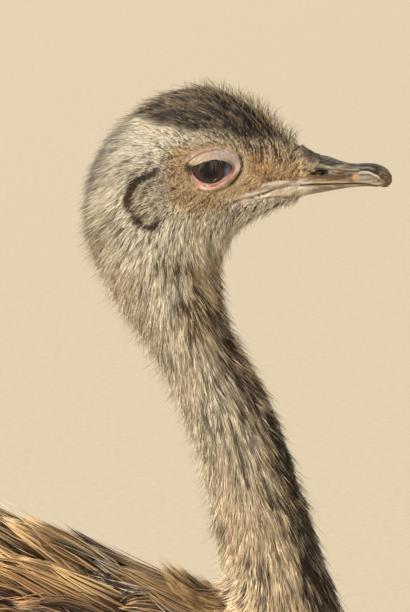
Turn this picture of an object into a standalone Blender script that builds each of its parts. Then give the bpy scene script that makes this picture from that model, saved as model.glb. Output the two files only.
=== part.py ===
"""A greater rhea, life size, standing still with its neck drawn up in an S.

Metres, +Z up, the bird faces +X and its right side is at -Y. The floor is Z = 0.
The body is one long tube from the base of the bill to the tail, parted with thin cuts.
Each station of the tube is a ring in the bird's middle plane: a point on the crown, nape or
back, and the point across from it on the chin, throat or belly, with the ring's half-width.
The solids follow the tips of the plumage, as the outline of the living bird does.
"""

import math

import bmesh
import bpy
import numpy as np
from mathutils import Matrix

MM = 0.001
EYE_HEIGHT = 1.170  # of the eye's centre above the floor
EYE_FORWARD = 0.3038  # places the middle of the whole bird over the origin
CUT = 0.4 * MM  # width of the thin cuts between the pieces
GROWN = 0.6 * MM  # how far a piece stays clear of the one that it sits on

# name, crown or back x, z, chin or belly x, z, half-width, squareness, how far down the widest
# line lies: millimetres from the middle point between the eyes
STATIONS = (
    ("bill_base", 52, 10.5, 52, -19.5, 13.0, 2.2, 2.0),
    ("forehead", 45, 20, 46, -22, 16.0, 2.2, 2.0),
    ("lores", 31, 36, 33, -28.5, 20.5, 2.2, 2.0),
    ("brow", 13, 44.5, 22, -34, 24.0, 2.2, 0.0),
    ("crown", -6, 47, 14, -41, 25.5, 2.15, -1.0),
    ("crown_back", -28, 41.5, 10, -48, 27.5, 2.1, 0.0),
    ("hindhead", -50, 27, 7, -55, 29.0, 2.0, 0.0),
    ("occiput", -67, 2, 6, -61, 29.5, 2.0, 0.0),
    ("nape", -74, -30, 6, -66, 28.5, 2.0, 0.0),
    ("throat", -66, -59, 7, -73, 26.5, 2.0, 0.0),
    ("neck_top", -51, -87, 8, -84, 23.5, 2.0, 0.0),
    ("neck_1", -30, -121, 14, -103, 21.5, 2.0, 0.0),
    ("neck_2", -12, -160, 35, -141, 21.5, 2.0, 0.0),
    ("neck_3", -1, -203, 53, -194, 24.0, 2.0, 0.0),
    ("neck_4", 4, -236, 67, -235, 28.0, 2.0, 0.0),
    ("neck_5", 5, -252, 80, -275, 33.0, 2.0, 0.0),
    ("neck_base", -3, -257, 92, -330, 43.0, 2.0, 2.0),
    ("collar", -19, -249, 94, -395, 62.0, 2.0, 10.0),
    ("chest", -42, -237, 73, -462, 90.0, 2.0, 14.0),
    ("breast", -76, -225, 28, -524, 122.0, 2.05, 10.0),
    ("shoulder", -122, -209, -42, -570, 148.0, 2.15, 2.0),
    ("back_1", -182, -193, -125, -596, 165.0, 2.2, -8.0),
    ("back_2", -250, -180, -215, -606, 173.0, 2.2, -8.0),
    ("back_3", -330, -173, -320, -603, 174.0, 2.2, -6.0),
    ("hip", -410, -179, -420, -590, 167.0, 2.15, -4.0),
    ("rump", -490, -203, -512, -572, 149.0, 2.1, 0.0),
    ("tail_1", -562, -243, -592, -558, 124.0, 2.0, 0.0),
    ("tail_2", -622, -296, -655, -546, 93.0, 2.0, 0.0),
    ("tail_3", -668, -358, -692, -534, 60.0, 2.0, 0.0),
    ("tail_4", -698, -420, -708, -524, 30.0, 2.0, 0.0),
    ("tail_tip", -708, -458, -711, -506, 12.0, 2.0, 0.0),
)

# name, x, z of the upper edge, z of the lower edge, half-width, millimetres from between the eyes
UPPER_BILL = (
    ("base", 52.4, 9.8, -10.9, 12.6),
    ("feather_edge", 60.0, 6.4, -10.3, 12.1),
    ("nostril", 68.5, 4.9, -10.3, 11.2),
    ("middle", 77.0, 1.7, -10.2, 10.3),
    ("waist", 85.0, 0.1, -10.1, 9.6),
    ("nail_back", 92.5, -0.2, -10.6, 9.3),
    ("nail", 98.5, -1.1, -12.0, 8.2),
    ("hook", 102.3, -3.6, -12.2, 5.4),
    ("tip", 104.4, -6.6, -9.6, 1.8),
)
LOWER_BILL = (
    ("base", 52.4, -11.4, -19.4, 11.4),
    ("feather_edge", 60.0, -10.8, -17.2, 10.6),
    ("nostril", 68.5, -10.8, -16.1, 9.5),
    ("middle", 77.0, -10.7, -15.0, 8.6),
    ("waist", 85.0, -10.6, -14.4, 7.8),
    ("nail_back", 92.5, -11.1, -14.5, 6.8),
    ("end", 97.5, -12.4, -15.0, 4.4),
)

# name, x, y, z of the leg's middle line, fore-and-aft half-depth, half-width
THIGH = (
    ("hip", -272, 78, -450, 92, 70),
    ("upper", -288, 84, -530, 92, 66),
    ("middle", -314, 84, -598, 74, 54),
    ("lower", -340, 82, -654, 51, 40),
    ("cuff", -362, 80, -704, 32, 27),
)
SHANK = (
    ("bare_tibia", -362, 80, -704.5, 25, 22),
    ("above_hock", -382, 79, -750, 21, 19),
    ("hock_top", -394, 78.5, -778, 25, 22),
    ("hock", -400, 78, -802, 28, 24),
    ("hock_base", -396, 78, -830, 22, 19),
    ("shank_top", -390, 78, -868, 17.5, 15),
    ("shank", -380, 78, -950, 16, 13.5),
    ("shank_low", -370, 78, -1030, 16, 14),
    ("fetlock", -364, 78, -1090, 18.5, 17.5),
    ("ball", -358, 78, -1138, 20, 20),
)
# name, turn from straight ahead in degrees (outward), length, half-width at the root and at the end
TOES = (
    ("inner", -27, 84, 11.0, 7.5),
    ("middle", 0, 126, 13.5, 9.0),
    ("outer", 29, 92, 11.5, 7.5),
)
TOE_ROOT = (-352, 78)  # x and y of the toes' common root
TOE_DEPTH = 1.75  # a toe's height over its half-width
SOLE_SINK = 0.22  # share of a toe's radius that its flat sole takes away
CLAW_LENGTH = 27
CLAW_ROOT = 6.2
PAD_RADII = (30, 25, 24)
STRIDE = 18  # how far the left foot stands ahead of the right one

EYE_RADIUS = 13.5
EYE_OUT = 14.6
EYE_SOCKET_GAP = 0.45

# station before and after, down from the crown in turns, bulge in millimetres
WING = {"first": 17.35, "last": 27.3, "top": 0.082, "bottom": 0.30, "bulge": 23.0, "edge": 5.0}
EAR = {"first": 6.05, "last": 7.45, "top": 0.18, "bottom": 0.258, "bulge": 2.4, "edge": 1.2}

RING_SIDES = {"head": 24, "neck": 22, "trunk": 28, "tail": 28}


def eye_point(x, y, z):
    """A point given in millimetres from between the eyes, in metres from the origin."""
    return np.array((EYE_FORWARD + x * MM, y * MM, EYE_HEIGHT + z * MM))


def smooth(rows, place):
    """The row at a place between the rows, on a Catmull-Rom curve through them all."""
    last = len(rows) - 1
    place = min(max(place, 0.0), float(last))
    i = min(int(place), last - 1)
    t = place - i
    before = rows[max(i - 1, 0)]
    a, b = rows[i], rows[i + 1]
    after = rows[min(i + 2, last)]
    return 0.5 * (
        2 * a
        + (b - before) * t
        + (2 * before - 5 * a + 4 * b - after) * t**2
        + (3 * a - before - 3 * b + after) * t**3
    )


def numbers(rows):
    return [np.array(row[1:], float) for row in rows]


BODY_ROWS = numbers(STATIONS)
STATION = {row[0]: i for i, row in enumerate(STATIONS)}


def rounded(angle, power):
    """Cosine and sine of a superellipse."""
    c, s = math.cos(angle), math.sin(angle)
    return (
        math.copysign(abs(c) ** (2 / power), c),
        math.copysign(abs(s) ** (2 / power), s),
    )


def body_point(place, turn, grown=0.0):
    """A point of the tube: a place along the stations and a turn, 0 at the top, 0.25 at the right side."""
    top_x, top_z, low_x, low_z, half, power, drop = smooth(BODY_ROWS, place)
    top, low = np.array((top_x, top_z)), np.array((low_x, low_z))
    middle, up = (top + low) / 2, (top - low) / 2
    size = np.linalg.norm(up)
    c, s = rounded(2 * math.pi * turn, power)
    x, z = middle + up * c * (1 + grown / size) - up / size * drop * s * s
    return eye_point(x, -(half + grown) * s, z)


def body_ring(place, sides, grown=0.0, ahead=0.0):
    """One ring of the tube, moved ahead along its own axis by some millimetres."""
    ring = np.array([body_point(place, i / sides, grown) for i in range(sides)])
    if ahead:
        across = ring[0] - ring[sides // 2]
        axis = np.cross((0.0, 1.0, 0.0), across)
        ring = ring + axis / np.linalg.norm(axis) * ahead
    return ring


def finish_solid(name, mesh, color, roughness, smooth_angle=40):
    """A named object with its own material from a closed bmesh."""
    bmesh.ops.recalc_face_normals(mesh, faces=mesh.faces)
    data = bpy.data.meshes.new(name)
    mesh.to_mesh(data)
    mesh.free()
    data.shade_smooth()
    data.set_sharp_from_angle(angle=math.radians(smooth_angle))
    material = bpy.data.materials.new(name)
    material.use_nodes = True
    shader = material.node_tree.nodes["Principled BSDF"]
    shader.inputs["Base Color"].default_value = (*color, 1.0)
    shader.inputs["Roughness"].default_value = roughness
    data.materials.append(material)
    obj = bpy.data.objects.new(name, data)
    bpy.context.scene.collection.objects.link(obj)
    return obj


def loft(name, rings, color, roughness=0.8):
    """A closed solid through rings with the same number of points."""
    mesh = bmesh.new()
    sides = len(rings[0])
    made = bmesh.ops.create_circle(mesh, cap_ends=True, radius=1.0, segments=sides)
    ring = made["verts"]
    edges = [e for e in mesh.edges if len(e.link_faces) == 1]
    for vertex, point in zip(ring, rings[0]):
        vertex.co = point
    for points in rings[1:]:
        grown = bmesh.ops.extrude_edge_only(mesh, edges=edges)["geom"]
        edges = [g for g in grown if isinstance(g, bmesh.types.BMEdge)]
        fresh = [g for g in grown if isinstance(g, bmesh.types.BMVert)]
        follow = {}
        for vertex in fresh:
            partner = next(
                e.other_vert(vertex) for e in vertex.link_edges if e.other_vert(vertex) in ring
            )
            follow[ring.index(partner)] = vertex
        edges = [e for e in edges if e.verts[0] in fresh and e.verts[1] in fresh]
        ring = [follow[i] for i in range(sides)]
        for vertex, point in zip(ring, points):
            vertex.co = point
    bmesh.ops.contextual_create(mesh, geom=edges)
    sides_only = [f for f in mesh.faces if len(f.verts) == 4]
    bmesh.ops.triangulate(mesh, faces=sides_only, quad_method="SHORT_EDGE")
    return finish_solid(name, mesh, color, roughness)


def cutter_of(obj):
    obj.hide_render = True
    obj.display_type = "WIRE"
    return obj


def subtract(obj, *cutters):
    for cutter in cutters:
        cut = obj.modifiers.new("Clear_of_" + cutter.name, "BOOLEAN")
        cut.operation = "DIFFERENCE"
        cut.solver = "EXACT"
        cut.object = cutter


def body_length(first, last, steps, sides, grown=0.0):
    """Rings of the tube from one place to another; the ends leave half a cut each."""
    places = np.linspace(first, last, steps)
    half_cut = 0.0 if grown else CUT / 2
    rings = [body_ring(places[0], sides, grown, -half_cut)]
    rings += [body_ring(p, sides, grown) for p in places[1:-1]]
    rings.append(body_ring(places[-1], sides, grown, half_cut))
    return rings


def make_tube():
    """Head, neck in three lengths, trunk and tail."""
    pieces = (
        ("head", "bill_base", "neck_top", 19, "head", (0.62, 0.55, 0.44)),
        ("neck_upper", "neck_top", "neck_2", 6, "neck", (0.66, 0.61, 0.50)),
        ("neck_middle", "neck_2", "neck_4", 6, "neck", (0.62, 0.56, 0.45)),
        ("neck_lower", "neck_4", "collar", 9, "neck", (0.55, 0.48, 0.37)),
        ("trunk", "collar", "rump", 15, "trunk", (0.42, 0.33, 0.25)),
        ("tail", "rump", "tail_tip", 9, "tail", (0.50, 0.42, 0.32)),
    )
    made = {}
    for name, first, last, steps, kind, color in pieces:
        rings = body_length(STATION[first], STATION[last], steps, RING_SIDES[kind])
        made[name] = loft(name, rings, color, 0.9)
    return made


def patch(name, spec, steps, across, inset, color):
    """A shell that lies on the tube: an outer face that bulges and an inner face sunk in the tube."""
    places = np.linspace(spec["first"], spec["last"], steps)
    rings = []
    for i, place in enumerate(places):
        along = i / (steps - 1)
        swell = max(math.sin(math.pi * along), 0.0) ** 0.55 + 0.05
        middle = (spec["top"] + spec["bottom"]) / 2
        reach = (spec["bottom"] - spec["top"]) / 2 * swell
        turns = [middle + reach * (2 * j / (across - 1) - 1) for j in range(across)]
        outer = []
        for j, turn in enumerate(turns):
            round_edge = math.sin(math.pi * j / (across - 1)) ** 0.6
            height = spec["edge"] + (spec["bulge"] - spec["edge"]) * round_edge * swell
            outer.append(body_point(place, turn, height))
        inner = [body_point(place, turn, -inset) for turn in reversed(turns)]
        rings.append(np.array(outer + inner))
    return loft(name, rings, color, 0.9)


def mirrored(rings, side):
    """Rings at -Y as given, or turned over to +Y."""
    if side == "R":
        return rings
    flip = np.array((1.0, -1.0, 1.0))
    return [ring * flip for ring in rings]


def make_wings_and_ears(trunk_grown, head_grown):
    made = {}
    for side in ("R", "L"):
        for name, spec, steps, across, inset, base in (
            ("wing", WING, 12, 8, 7.0, trunk_grown),
            ("ear", EAR, 7, 6, 2.0, head_grown),
        ):
            turned = dict(spec)
            if side == "L":
                turned["top"], turned["bottom"] = 1 - spec["bottom"], 1 - spec["top"]
            color = (0.40, 0.31, 0.23) if name == "wing" else (0.55, 0.50, 0.41)
            piece = patch(f"{name}_{side}", turned, steps, across, inset, color)
            subtract(piece, base)
            made[f"{name}_{side}"] = piece
    return made


def eyeball(side, radius, name):
    mesh = bmesh.new()
    bmesh.ops.create_uvsphere(mesh, u_segments=14, v_segments=10, radius=radius * MM)
    way = -1 if side == "R" else 1
    bmesh.ops.rotate(mesh, verts=mesh.verts, matrix=Matrix.Rotation(math.radians(90), 3, "X"))
    bmesh.ops.translate(mesh, verts=mesh.verts, vec=eye_point(0, way * EYE_OUT, 0))
    return finish_solid(name, mesh, (0.05, 0.035, 0.03), 0.15)


def bill_rings(rows, upper, steps=11, sides=16):
    """Rings of one half of the bill: round on the outside and flat along the mouth."""
    rings = []
    table = numbers(rows)
    for place in np.linspace(0, len(rows) - 1, steps):
        x, high, low, half = smooth(table, place)
        ring = []
        for i in range(sides):
            angle = 2 * math.pi * i / sides
            c, s = rounded(angle, 2.3)
            outer = c > 0 if upper else c < 0
            base = low + 0.28 * (high - low) if upper else high - 0.3 * (high - low)
            reach = (high - base if c > 0 else base - low) * abs(c)
            z = base + math.copysign(reach, c)
            if not outer:
                c, s = rounded(angle, 5.0)
                z = base + math.copysign((high - base if c > 0 else base - low) * abs(c), c)
            ring.append(eye_point(x, -half * s, z))
        rings.append(np.array(ring))
    return rings


def make_bill():
    loft("beak_upper", bill_rings(UPPER_BILL, True), (0.36, 0.31, 0.26), 0.45)
    loft("beak_lower", bill_rings(LOWER_BILL, False, steps=10, sides=14), (0.62, 0.55, 0.42), 0.45)


def leg_rings(rows, steps, sides, forward):
    """Rings across a leg's middle line; the leg is built on the right side."""
    table = numbers(rows)
    centers = [smooth(table, p) for p in np.linspace(0, len(rows) - 1, steps)]
    rings = []
    for i, row in enumerate(centers):
        x, y, z, deep, half = row
        before = centers[max(i - 1, 0)][:3]
        after = centers[min(i + 1, steps - 1)][:3]
        down = (after - before) / np.linalg.norm(after - before)
        fore = np.cross(down, (0.0, 1.0, 0.0))
        fore /= np.linalg.norm(fore)
        ring = [
            eye_point(
                x + forward * foot_share(z) + fore[0] * deep * math.cos(a),
                -(y + half * math.sin(a)),
                z + fore[2] * deep * math.cos(a),
            )
            for a in (2 * math.pi * k / sides for k in range(sides))
        ]
        rings.append(np.array(ring))
    return rings


def foot_share(z):
    """0 at the hip and 1 at the foot: how much of the stride a height takes."""
    top, bottom = THIGH[0][3], SHANK[-1][3]
    return min(max((z - top) / (bottom - top), 0.0), 1.0)


def make_leg(side, trunk_grown, wing):
    """Feathered thigh, bare shank, the foot's pad, three toes and three claws."""
    forward = STRIDE / 2 if side == "L" else -STRIDE / 2
    thigh = loft(
        f"thigh_{side}", mirrored(leg_rings(THIGH, 9, 18, forward), side), (0.60, 0.54, 0.45), 0.9
    )
    subtract(thigh, trunk_grown, wing)
    shank = loft(
        f"shank_{side}", mirrored(leg_rings(SHANK, 12, 11, forward), side), (0.45, 0.42, 0.37), 0.6
    )
    pad, pad_grown = (make_pad(side, forward, grown) for grown in (0.0, GROWN / MM))
    cutter_of(pad_grown)
    subtract(shank, pad_grown)
    toes = {}
    for name, turn, length, root, end in TOES:
        toes[name] = [
            make_toe(side, forward, name, turn, length, root, end, grown)
            for grown in (0.0, GROWN / MM)
        ]
        cutter_of(toes[name][1])
        subtract(toes[name][0], pad_grown)
    for name in ("inner", "outer"):
        subtract(toes[name][0], toes["middle"][1])
    for name, turn, length, root, end in TOES:
        claw = make_claw(side, forward, name, turn, length)
        subtract(claw, toes[name][1])


def on_the_floor(ring):
    """Points lower than the floor come up to it, which makes the flat soles."""
    ring = np.array(ring)
    ring[:, 2] = np.maximum(ring[:, 2], 0.0)
    return ring


def make_pad(side, forward, grown):
    """The ball of the foot, flat where it stands."""
    deep, half, high = (r + grown for r in PAD_RADII)
    name = f"foot_{side}" + ("_grown" if grown else "")
    base = eye_point(TOE_ROOT[0] - 4 + forward, -TOE_ROOT[1], 0)
    middle = 0.62 * high * MM
    floor = -1.0 * MM if grown else 0.0
    rings = []
    for k in range(8):
        level = -math.pi / 2 * 0.98 + math.pi * 0.98 * k / 7
        z = middle + high * MM * math.sin(level)
        reach = math.cos(level)
        rings.append(
            np.array(
                [
                    (
                        base[0] + deep * MM * reach * math.cos(a),
                        base[1] + half * MM * reach * math.sin(a),
                        max(z, floor),
                    )
                    for a in (2 * math.pi * j / 14 for j in range(14))
                ]
            )
        )
    keep = [r for r in rings if r[0, 2] > floor + 1e-6]
    first = rings[len(rings) - len(keep) - 1].copy()
    reach = math.sqrt(max(1 - ((middle - floor) / (high * MM)) ** 2, 0.05))
    for j in range(14):
        a = 2 * math.pi * j / 14
        first[j] = (
            base[0] + deep * MM * reach * math.cos(a),
            base[1] + half * MM * reach * math.sin(a),
            floor,
        )
    return loft(name, mirrored([first, *keep], side), (0.40, 0.37, 0.33), 0.65)


def toe_line(side, forward, turn):
    """The toe's root and its direction along the floor."""
    root = eye_point(TOE_ROOT[0] + forward, -TOE_ROOT[1], 0)
    a = math.radians(turn)
    way = np.array((math.cos(a), -math.sin(a), 0.0))
    return np.array((root[0], root[1], 0.0)), way


def make_toe(side, forward, name, turn, length, root, end, grown):
    """A toe with its joints' swellings, flat along its sole."""
    start, way = toe_line(side, forward, turn)
    across = np.cross(way, (0.0, 0.0, 1.0))
    joints = 3 if name != "middle" else 4
    rings = []
    steps = 8
    for k in range(steps):
        t = k / (steps - 1)
        half = root + (end - root) * t + 0.9 * math.cos(2 * math.pi * joints * t) * (t < 0.95)
        if k == steps - 1:
            half *= 0.62
        half += grown
        high = half * TOE_DEPTH / 2 * (1.12 - 0.22 * t)
        center = start + way * (length * t * MM + grown * MM * (t > 0.99))
        lift = high * (1 - SOLE_SINK) * MM
        ring = []
        for j in range(10):
            a = 2 * math.pi * j / 10
            c, s = rounded(a, 2.3)
            point = center + across * half * s * MM
            point[2] = lift + high * c * MM
            ring.append(point)
        rings.append(np.array(ring) if grown else on_the_floor(ring))
    label = f"toe_{name}_{side}" + ("_grown" if grown else "")
    return loft(label, mirrored(rings, side), (0.42, 0.39, 0.34), 0.6)


def make_claw(side, forward, name, turn, length):
    """A blunt claw that curves down to just above the floor."""
    start, way = toe_line(side, forward, turn)
    across = np.cross(way, (0.0, 0.0, 1.0))
    rings = []
    steps = 6
    for k in range(steps):
        t = k / (steps - 1)
        size = CLAW_ROOT * math.sqrt(max(1 - t**1.6, 0.0)) + 0.7
        reach = length - 7 + CLAW_LENGTH * t
        lift = 8.4 - 4.6 * t**2
        center = start + way * reach * MM
        ring = []
        for j in range(8):
            a = 2 * math.pi * j / 8
            point = center + across * 0.72 * size * math.sin(a) * MM
            point[2] = max((lift + size * math.cos(a)) * MM, 0.4 * MM)
            ring.append(point)
        rings.append(np.array(ring))
    return loft(f"claw_{name}_{side}", mirrored(rings, side), (0.13, 0.11, 0.10), 0.4)


def main():
    for obj in list(bpy.data.objects):
        bpy.data.objects.remove(obj)
    tube = make_tube()
    grown = GROWN / MM
    first, last = STATION["neck_4"], STATION["tail_tip"]
    trunk_grown = cutter_of(
        loft(
            "trunk_grown",
            [body_ring(p, RING_SIDES["trunk"], grown) for p in whole_body_places(first, last)],
            (1, 1, 1),
        )
    )
    head_grown = cutter_of(
        loft(
            "head_grown",
            body_length(0, STATION["neck_top"], 19, RING_SIDES["head"], grown),
            (1, 1, 1),
        )
    )
    for side in ("R", "L"):
        eyeball(side, EYE_RADIUS, f"eye_{side}")
        socket = cutter_of(eyeball(side, EYE_RADIUS + EYE_SOCKET_GAP, f"socket_{side}"))
        subtract(tube["head"], socket)
    made = make_wings_and_ears(trunk_grown, head_grown)
    make_bill()
    for side in ("R", "L"):
        make_leg(side, trunk_grown, made[f"wing_{side}"])


def whole_body_places(first, last):
    """The places of all rings that the trunk and tail have, so that a grown copy has the same facets."""
    lower = list(np.linspace(first, STATION["collar"], 9)[:-1])
    trunk = list(np.linspace(STATION["collar"], STATION["rump"], 15)[:-1])
    tail = list(np.linspace(STATION["rump"], last, 9))
    return lower + trunk + tail


main()
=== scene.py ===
import math

import bmesh
import bpy
import numpy as np
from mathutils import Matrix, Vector
from mathutils.bvhtree import BVHTree
from mathutils.kdtree import KDTree


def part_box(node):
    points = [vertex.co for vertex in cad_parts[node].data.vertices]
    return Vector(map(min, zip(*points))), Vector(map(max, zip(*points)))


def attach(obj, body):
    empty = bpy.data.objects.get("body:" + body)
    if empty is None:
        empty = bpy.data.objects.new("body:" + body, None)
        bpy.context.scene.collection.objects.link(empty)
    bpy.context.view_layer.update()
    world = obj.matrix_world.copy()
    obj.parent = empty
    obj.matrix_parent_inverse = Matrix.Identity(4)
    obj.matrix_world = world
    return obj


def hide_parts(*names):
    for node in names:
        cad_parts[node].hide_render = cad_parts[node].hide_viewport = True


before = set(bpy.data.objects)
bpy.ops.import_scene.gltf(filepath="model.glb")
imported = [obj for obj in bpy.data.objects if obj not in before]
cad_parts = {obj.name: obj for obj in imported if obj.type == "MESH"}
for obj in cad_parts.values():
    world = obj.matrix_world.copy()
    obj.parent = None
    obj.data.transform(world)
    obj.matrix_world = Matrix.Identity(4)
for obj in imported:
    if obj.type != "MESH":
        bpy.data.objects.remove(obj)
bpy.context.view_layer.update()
mm = 0.001


def middleOf(node):
    low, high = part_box(node)
    return np.array((low + high) / 2)


eyeMiddle = (middleOf("eye_R") + middleOf("eye_L")) / 2
floorLevel = -eyeMiddle[2] / mm


def toFrame(points):
    return eyeMiddle + np.asarray(points, float) * mm


def ease(x, low, high):
    t = np.clip((x - low) / (high - low), 0, 1)
    return t * t * (3 - 2 * t)


def bell(distance, width):
    return np.exp(-((distance / width) ** 2))


def unit(v):
    return v / np.maximum(np.linalg.norm(v, axis=-1, keepdims=True), 1e-9)


def mixed(a, b, share):
    # a colour is a tone's name or three numbers
    a, b = (tones[c] if isinstance(c, str) else np.asarray(c) for c in (a, b))
    share = np.asarray(share)[..., None]
    return a * (1 - share) + b * share


def layered(color, *layers):
    for tone, share in layers:
        color = mixed(color, tone, share)
    return color


def brighter(color, amount):
    return color * (1 + amount)[..., None]


def rgb(red, green, blue):
    # display colour, 0 to 255, to linear
    c = np.array((red, green, blue)) / 255
    return np.where(c < 0.04045, c / 12.92, ((c + 0.055) / 1.055) ** 2.4)


noiseTable = np.random.default_rng(5).random(4096)


def noise(points, size, salt=0, stretch=1):
    # smooth value noise, 0 to 1, drawn out where the stretch is under 1
    p = np.asarray(points, float) * stretch / size
    cell = np.floor(p).astype(np.int64)
    f = p - cell
    f = f * f * (3 - 2 * f)
    total = 0
    for corner in np.ndindex(2, 2, 2):
        keys = (cell + corner) * (73856093, 19349663, 83492791)  # three large primes scatter the cells
        weight = np.abs(1 - np.array(corner) - f)
        spot = (keys[..., 0] ^ keys[..., 1] ^ keys[..., 2]) + salt * 7919
        total = total + weight[..., 0] * weight[..., 1] * weight[..., 2] * noiseTable[spot % 4096]
    return total


def lineAt(line, x, column=1):
    line = np.array(line)
    return np.interp(x, line[:, 0], line[:, column])


def circle(turn, cosPower=1.0, sinPower=1.0):
    c, s = np.cos(2 * math.pi * turn), np.sin(2 * math.pi * turn)
    return np.sign(c) * np.abs(c) ** cosPower, np.sign(s) * np.abs(s) ** sinPower


def rings(places, sides):
    # place and turn for each corner of a round grid
    return np.meshgrid(places, np.arange(sides) / sides, indexing="ij")


def towardTop(turn):
    return np.cos(2 * math.pi * turn)


def parted(points):
    # places ahead, aside and up
    return points[..., 0], np.abs(points[..., 1]), points[..., 2]


def rowAt(rows, place):
    # Catmull-Rom through the rows
    rows = np.asarray(rows, float)
    place = np.clip(place, 0, len(rows) - 1)
    i = np.minimum(place.astype(int), len(rows) - 2)
    t = (place - i)[..., None]
    before, a = rows[np.maximum(i - 1, 0)], rows[i]
    b, after = rows[i + 1], rows[np.minimum(i + 2, len(rows) - 1)]
    return 0.5 * (
        2 * a
        + (b - before) * t
        + (2 * before - 5 * a + 4 * b - after) * t**2
        + (3 * a - before - 3 * b + after) * t**3
    )


def nearLine(x, z, line):
    # distance from points to a line through several corners
    best = np.full(np.shape(x), 1e9)
    for (ax, az), (bx, bz) in zip(line[:-1], line[1:]):
        dx, dz = bx - ax, bz - az
        t = np.clip(((x - ax) * dx + (z - az) * dz) / (dx * dx + dz * dz), 0, 1)
        best = np.minimum(best, np.hypot(x - ax - t * dx, z - az - t * dz))
    return best


# the bird's outline, which the solids have too
outline = [  # crown or back x, z, chin or belly x, z, half-width, squareness, drop of the widest line
    (52, 10.5, 52, -19.5, 13.0, 2.2, 2.0),
    (45, 20, 46, -22, 16.0, 2.2, 2.0),
    (31, 36, 33, -28.5, 20.5, 2.2, 2.0),
    (13, 44.5, 22, -34, 24.0, 2.2, 0.0),
    (-6, 47, 14, -41, 25.5, 2.15, -1.0),
    (-28, 41.5, 10, -48, 27.5, 2.1, 0.0),
    (-50, 27, 7, -55, 29.0, 2.0, 0.0),
    (-67, 2, 6, -61, 29.5, 2.0, 0.0),
    (-74, -30, 6, -66, 28.5, 2.0, 0.0),
    (-66, -59, 7, -73, 26.5, 2.0, 0.0),
    (-51, -87, 8, -84, 23.5, 2.0, 0.0),  # 10, top of the neck
    (-30, -121, 14, -103, 21.5, 2.0, 0.0),
    (-12, -160, 35, -141, 21.5, 2.0, 0.0),
    (-1, -203, 53, -194, 24.0, 2.0, 0.0),
    (4, -236, 67, -235, 28.0, 2.0, 0.0),
    (5, -252, 80, -275, 33.0, 2.0, 0.0),
    (-3, -257, 92, -330, 43.0, 2.0, 2.0),  # 16, foot of the neck
    (-19, -249, 94, -395, 62.0, 2.0, 10.0),
    (-42, -237, 73, -462, 90.0, 2.0, 14.0),
    (-76, -225, 28, -524, 122.0, 2.05, 10.0),
    (-122, -209, -42, -570, 148.0, 2.15, 2.0),
    (-182, -193, -125, -596, 165.0, 2.2, -8.0),
    (-250, -180, -215, -606, 173.0, 2.2, -8.0),
    (-330, -173, -320, -603, 174.0, 2.2, -6.0),
    (-410, -179, -420, -590, 167.0, 2.15, -4.0),
    (-490, -203, -512, -572, 149.0, 2.1, 0.0),  # 25, rump
    (-562, -243, -592, -558, 124.0, 2.0, 0.0),
    (-622, -296, -655, -546, 93.0, 2.0, 0.0),
    (-668, -358, -692, -534, 60.0, 2.0, 0.0),
    (-698, -420, -708, -524, 30.0, 2.0, 0.0),
    (-708, -458, -711, -506, 12.0, 2.0, 0.0),
]
lastPlace = len(outline) - 1
wing = {"first": 17.35, "last": 27.3, "top": 0.082, "bottom": 0.30, "bulge": 23.0, "edge": 5.0}


def wingLift(place, turn):
    # how far a folded wing stands proud of the flank
    along = np.clip((place - wing["first"]) / (wing["last"] - wing["first"]), 0, 1)
    swell = np.sin(math.pi * along) ** 0.55 + 0.05
    middle = (wing["top"] + wing["bottom"]) / 2
    reach = (wing["bottom"] - wing["top"]) / 2 * swell
    turn = turn % 1.0
    down = np.minimum(turn, 1 - turn)
    across = np.clip((down - middle + reach) / (2 * reach), 0, 1)
    crown = np.sin(math.pi * across) ** 0.6
    height = wing["edge"] + (wing["bulge"] - wing["edge"]) * crown * swell
    return height * ease(across, 0, 0.12) * ease(1 - across, 0, 0.08) * ease(along, 0, 0.08)


def tubePoint(place, turn, lift):
    # a point of the head, neck and trunk: turn 0 is the top, 0.25 the right side
    row = rowAt(outline, place)
    top, low = row[..., 0:2], row[..., 2:4]
    half, power, drop = row[..., 4], row[..., 5], row[..., 6]
    middle, up = (top + low) / 2, (top - low) / 2
    size = np.linalg.norm(up, axis=-1)
    c, s = circle(turn, 2 / power, 2 / power)
    xz = middle + up * (c * (1 + lift / size) - drop * s * s / size)[..., None]
    return np.stack((xz[..., 0], -(half + lift) * s, xz[..., 1]), -1)


coatDepths = [  # place, depth over the crown or back, depth over the sides
    (0, 1.5, 0.8), (1, 8.0, 1.1), (2, 11.5, 1.4), (3, 9.0, 1.6), (4, 6.5, 1.8), (6, 6.0, 3.4),
    (8, 6.5, 5.0), (10, 5.5, 4.8), (13, 5.5, 5.2), (15, 8.0, 7.5), (17, 14.0, 13.0), (19, 24.0, 22.0),
    (22, 34.0, 32.0), (26, 34.0, 32.0), (28, 22.0, 20.0), (29, 12.0, 11.0), (30, 5.0, 5.0),
]
coatDip = [  # place, how low the close coat of the forehead lies
    (0, 0), (0.5, 1.2), (1, 5.4), (1.5, 7.4), (2, 7.6), (3, 4.0), (4, 0.4), (5, 0),
]


def birdShell(place, turn, height):
    # height 0 is the skin and 1 the top of the close coat
    share = np.clip(towardTop(turn), 0, 1)
    top, flank = lineAt(coatDepths, place), lineAt(coatDepths, place, 2)
    depth = flank + (top - flank) * share
    dip = lineAt(coatDip, place) * share
    return tubePoint(place, turn, wingLift(place, turn) - depth * (1 - height) - dip * height)


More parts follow.
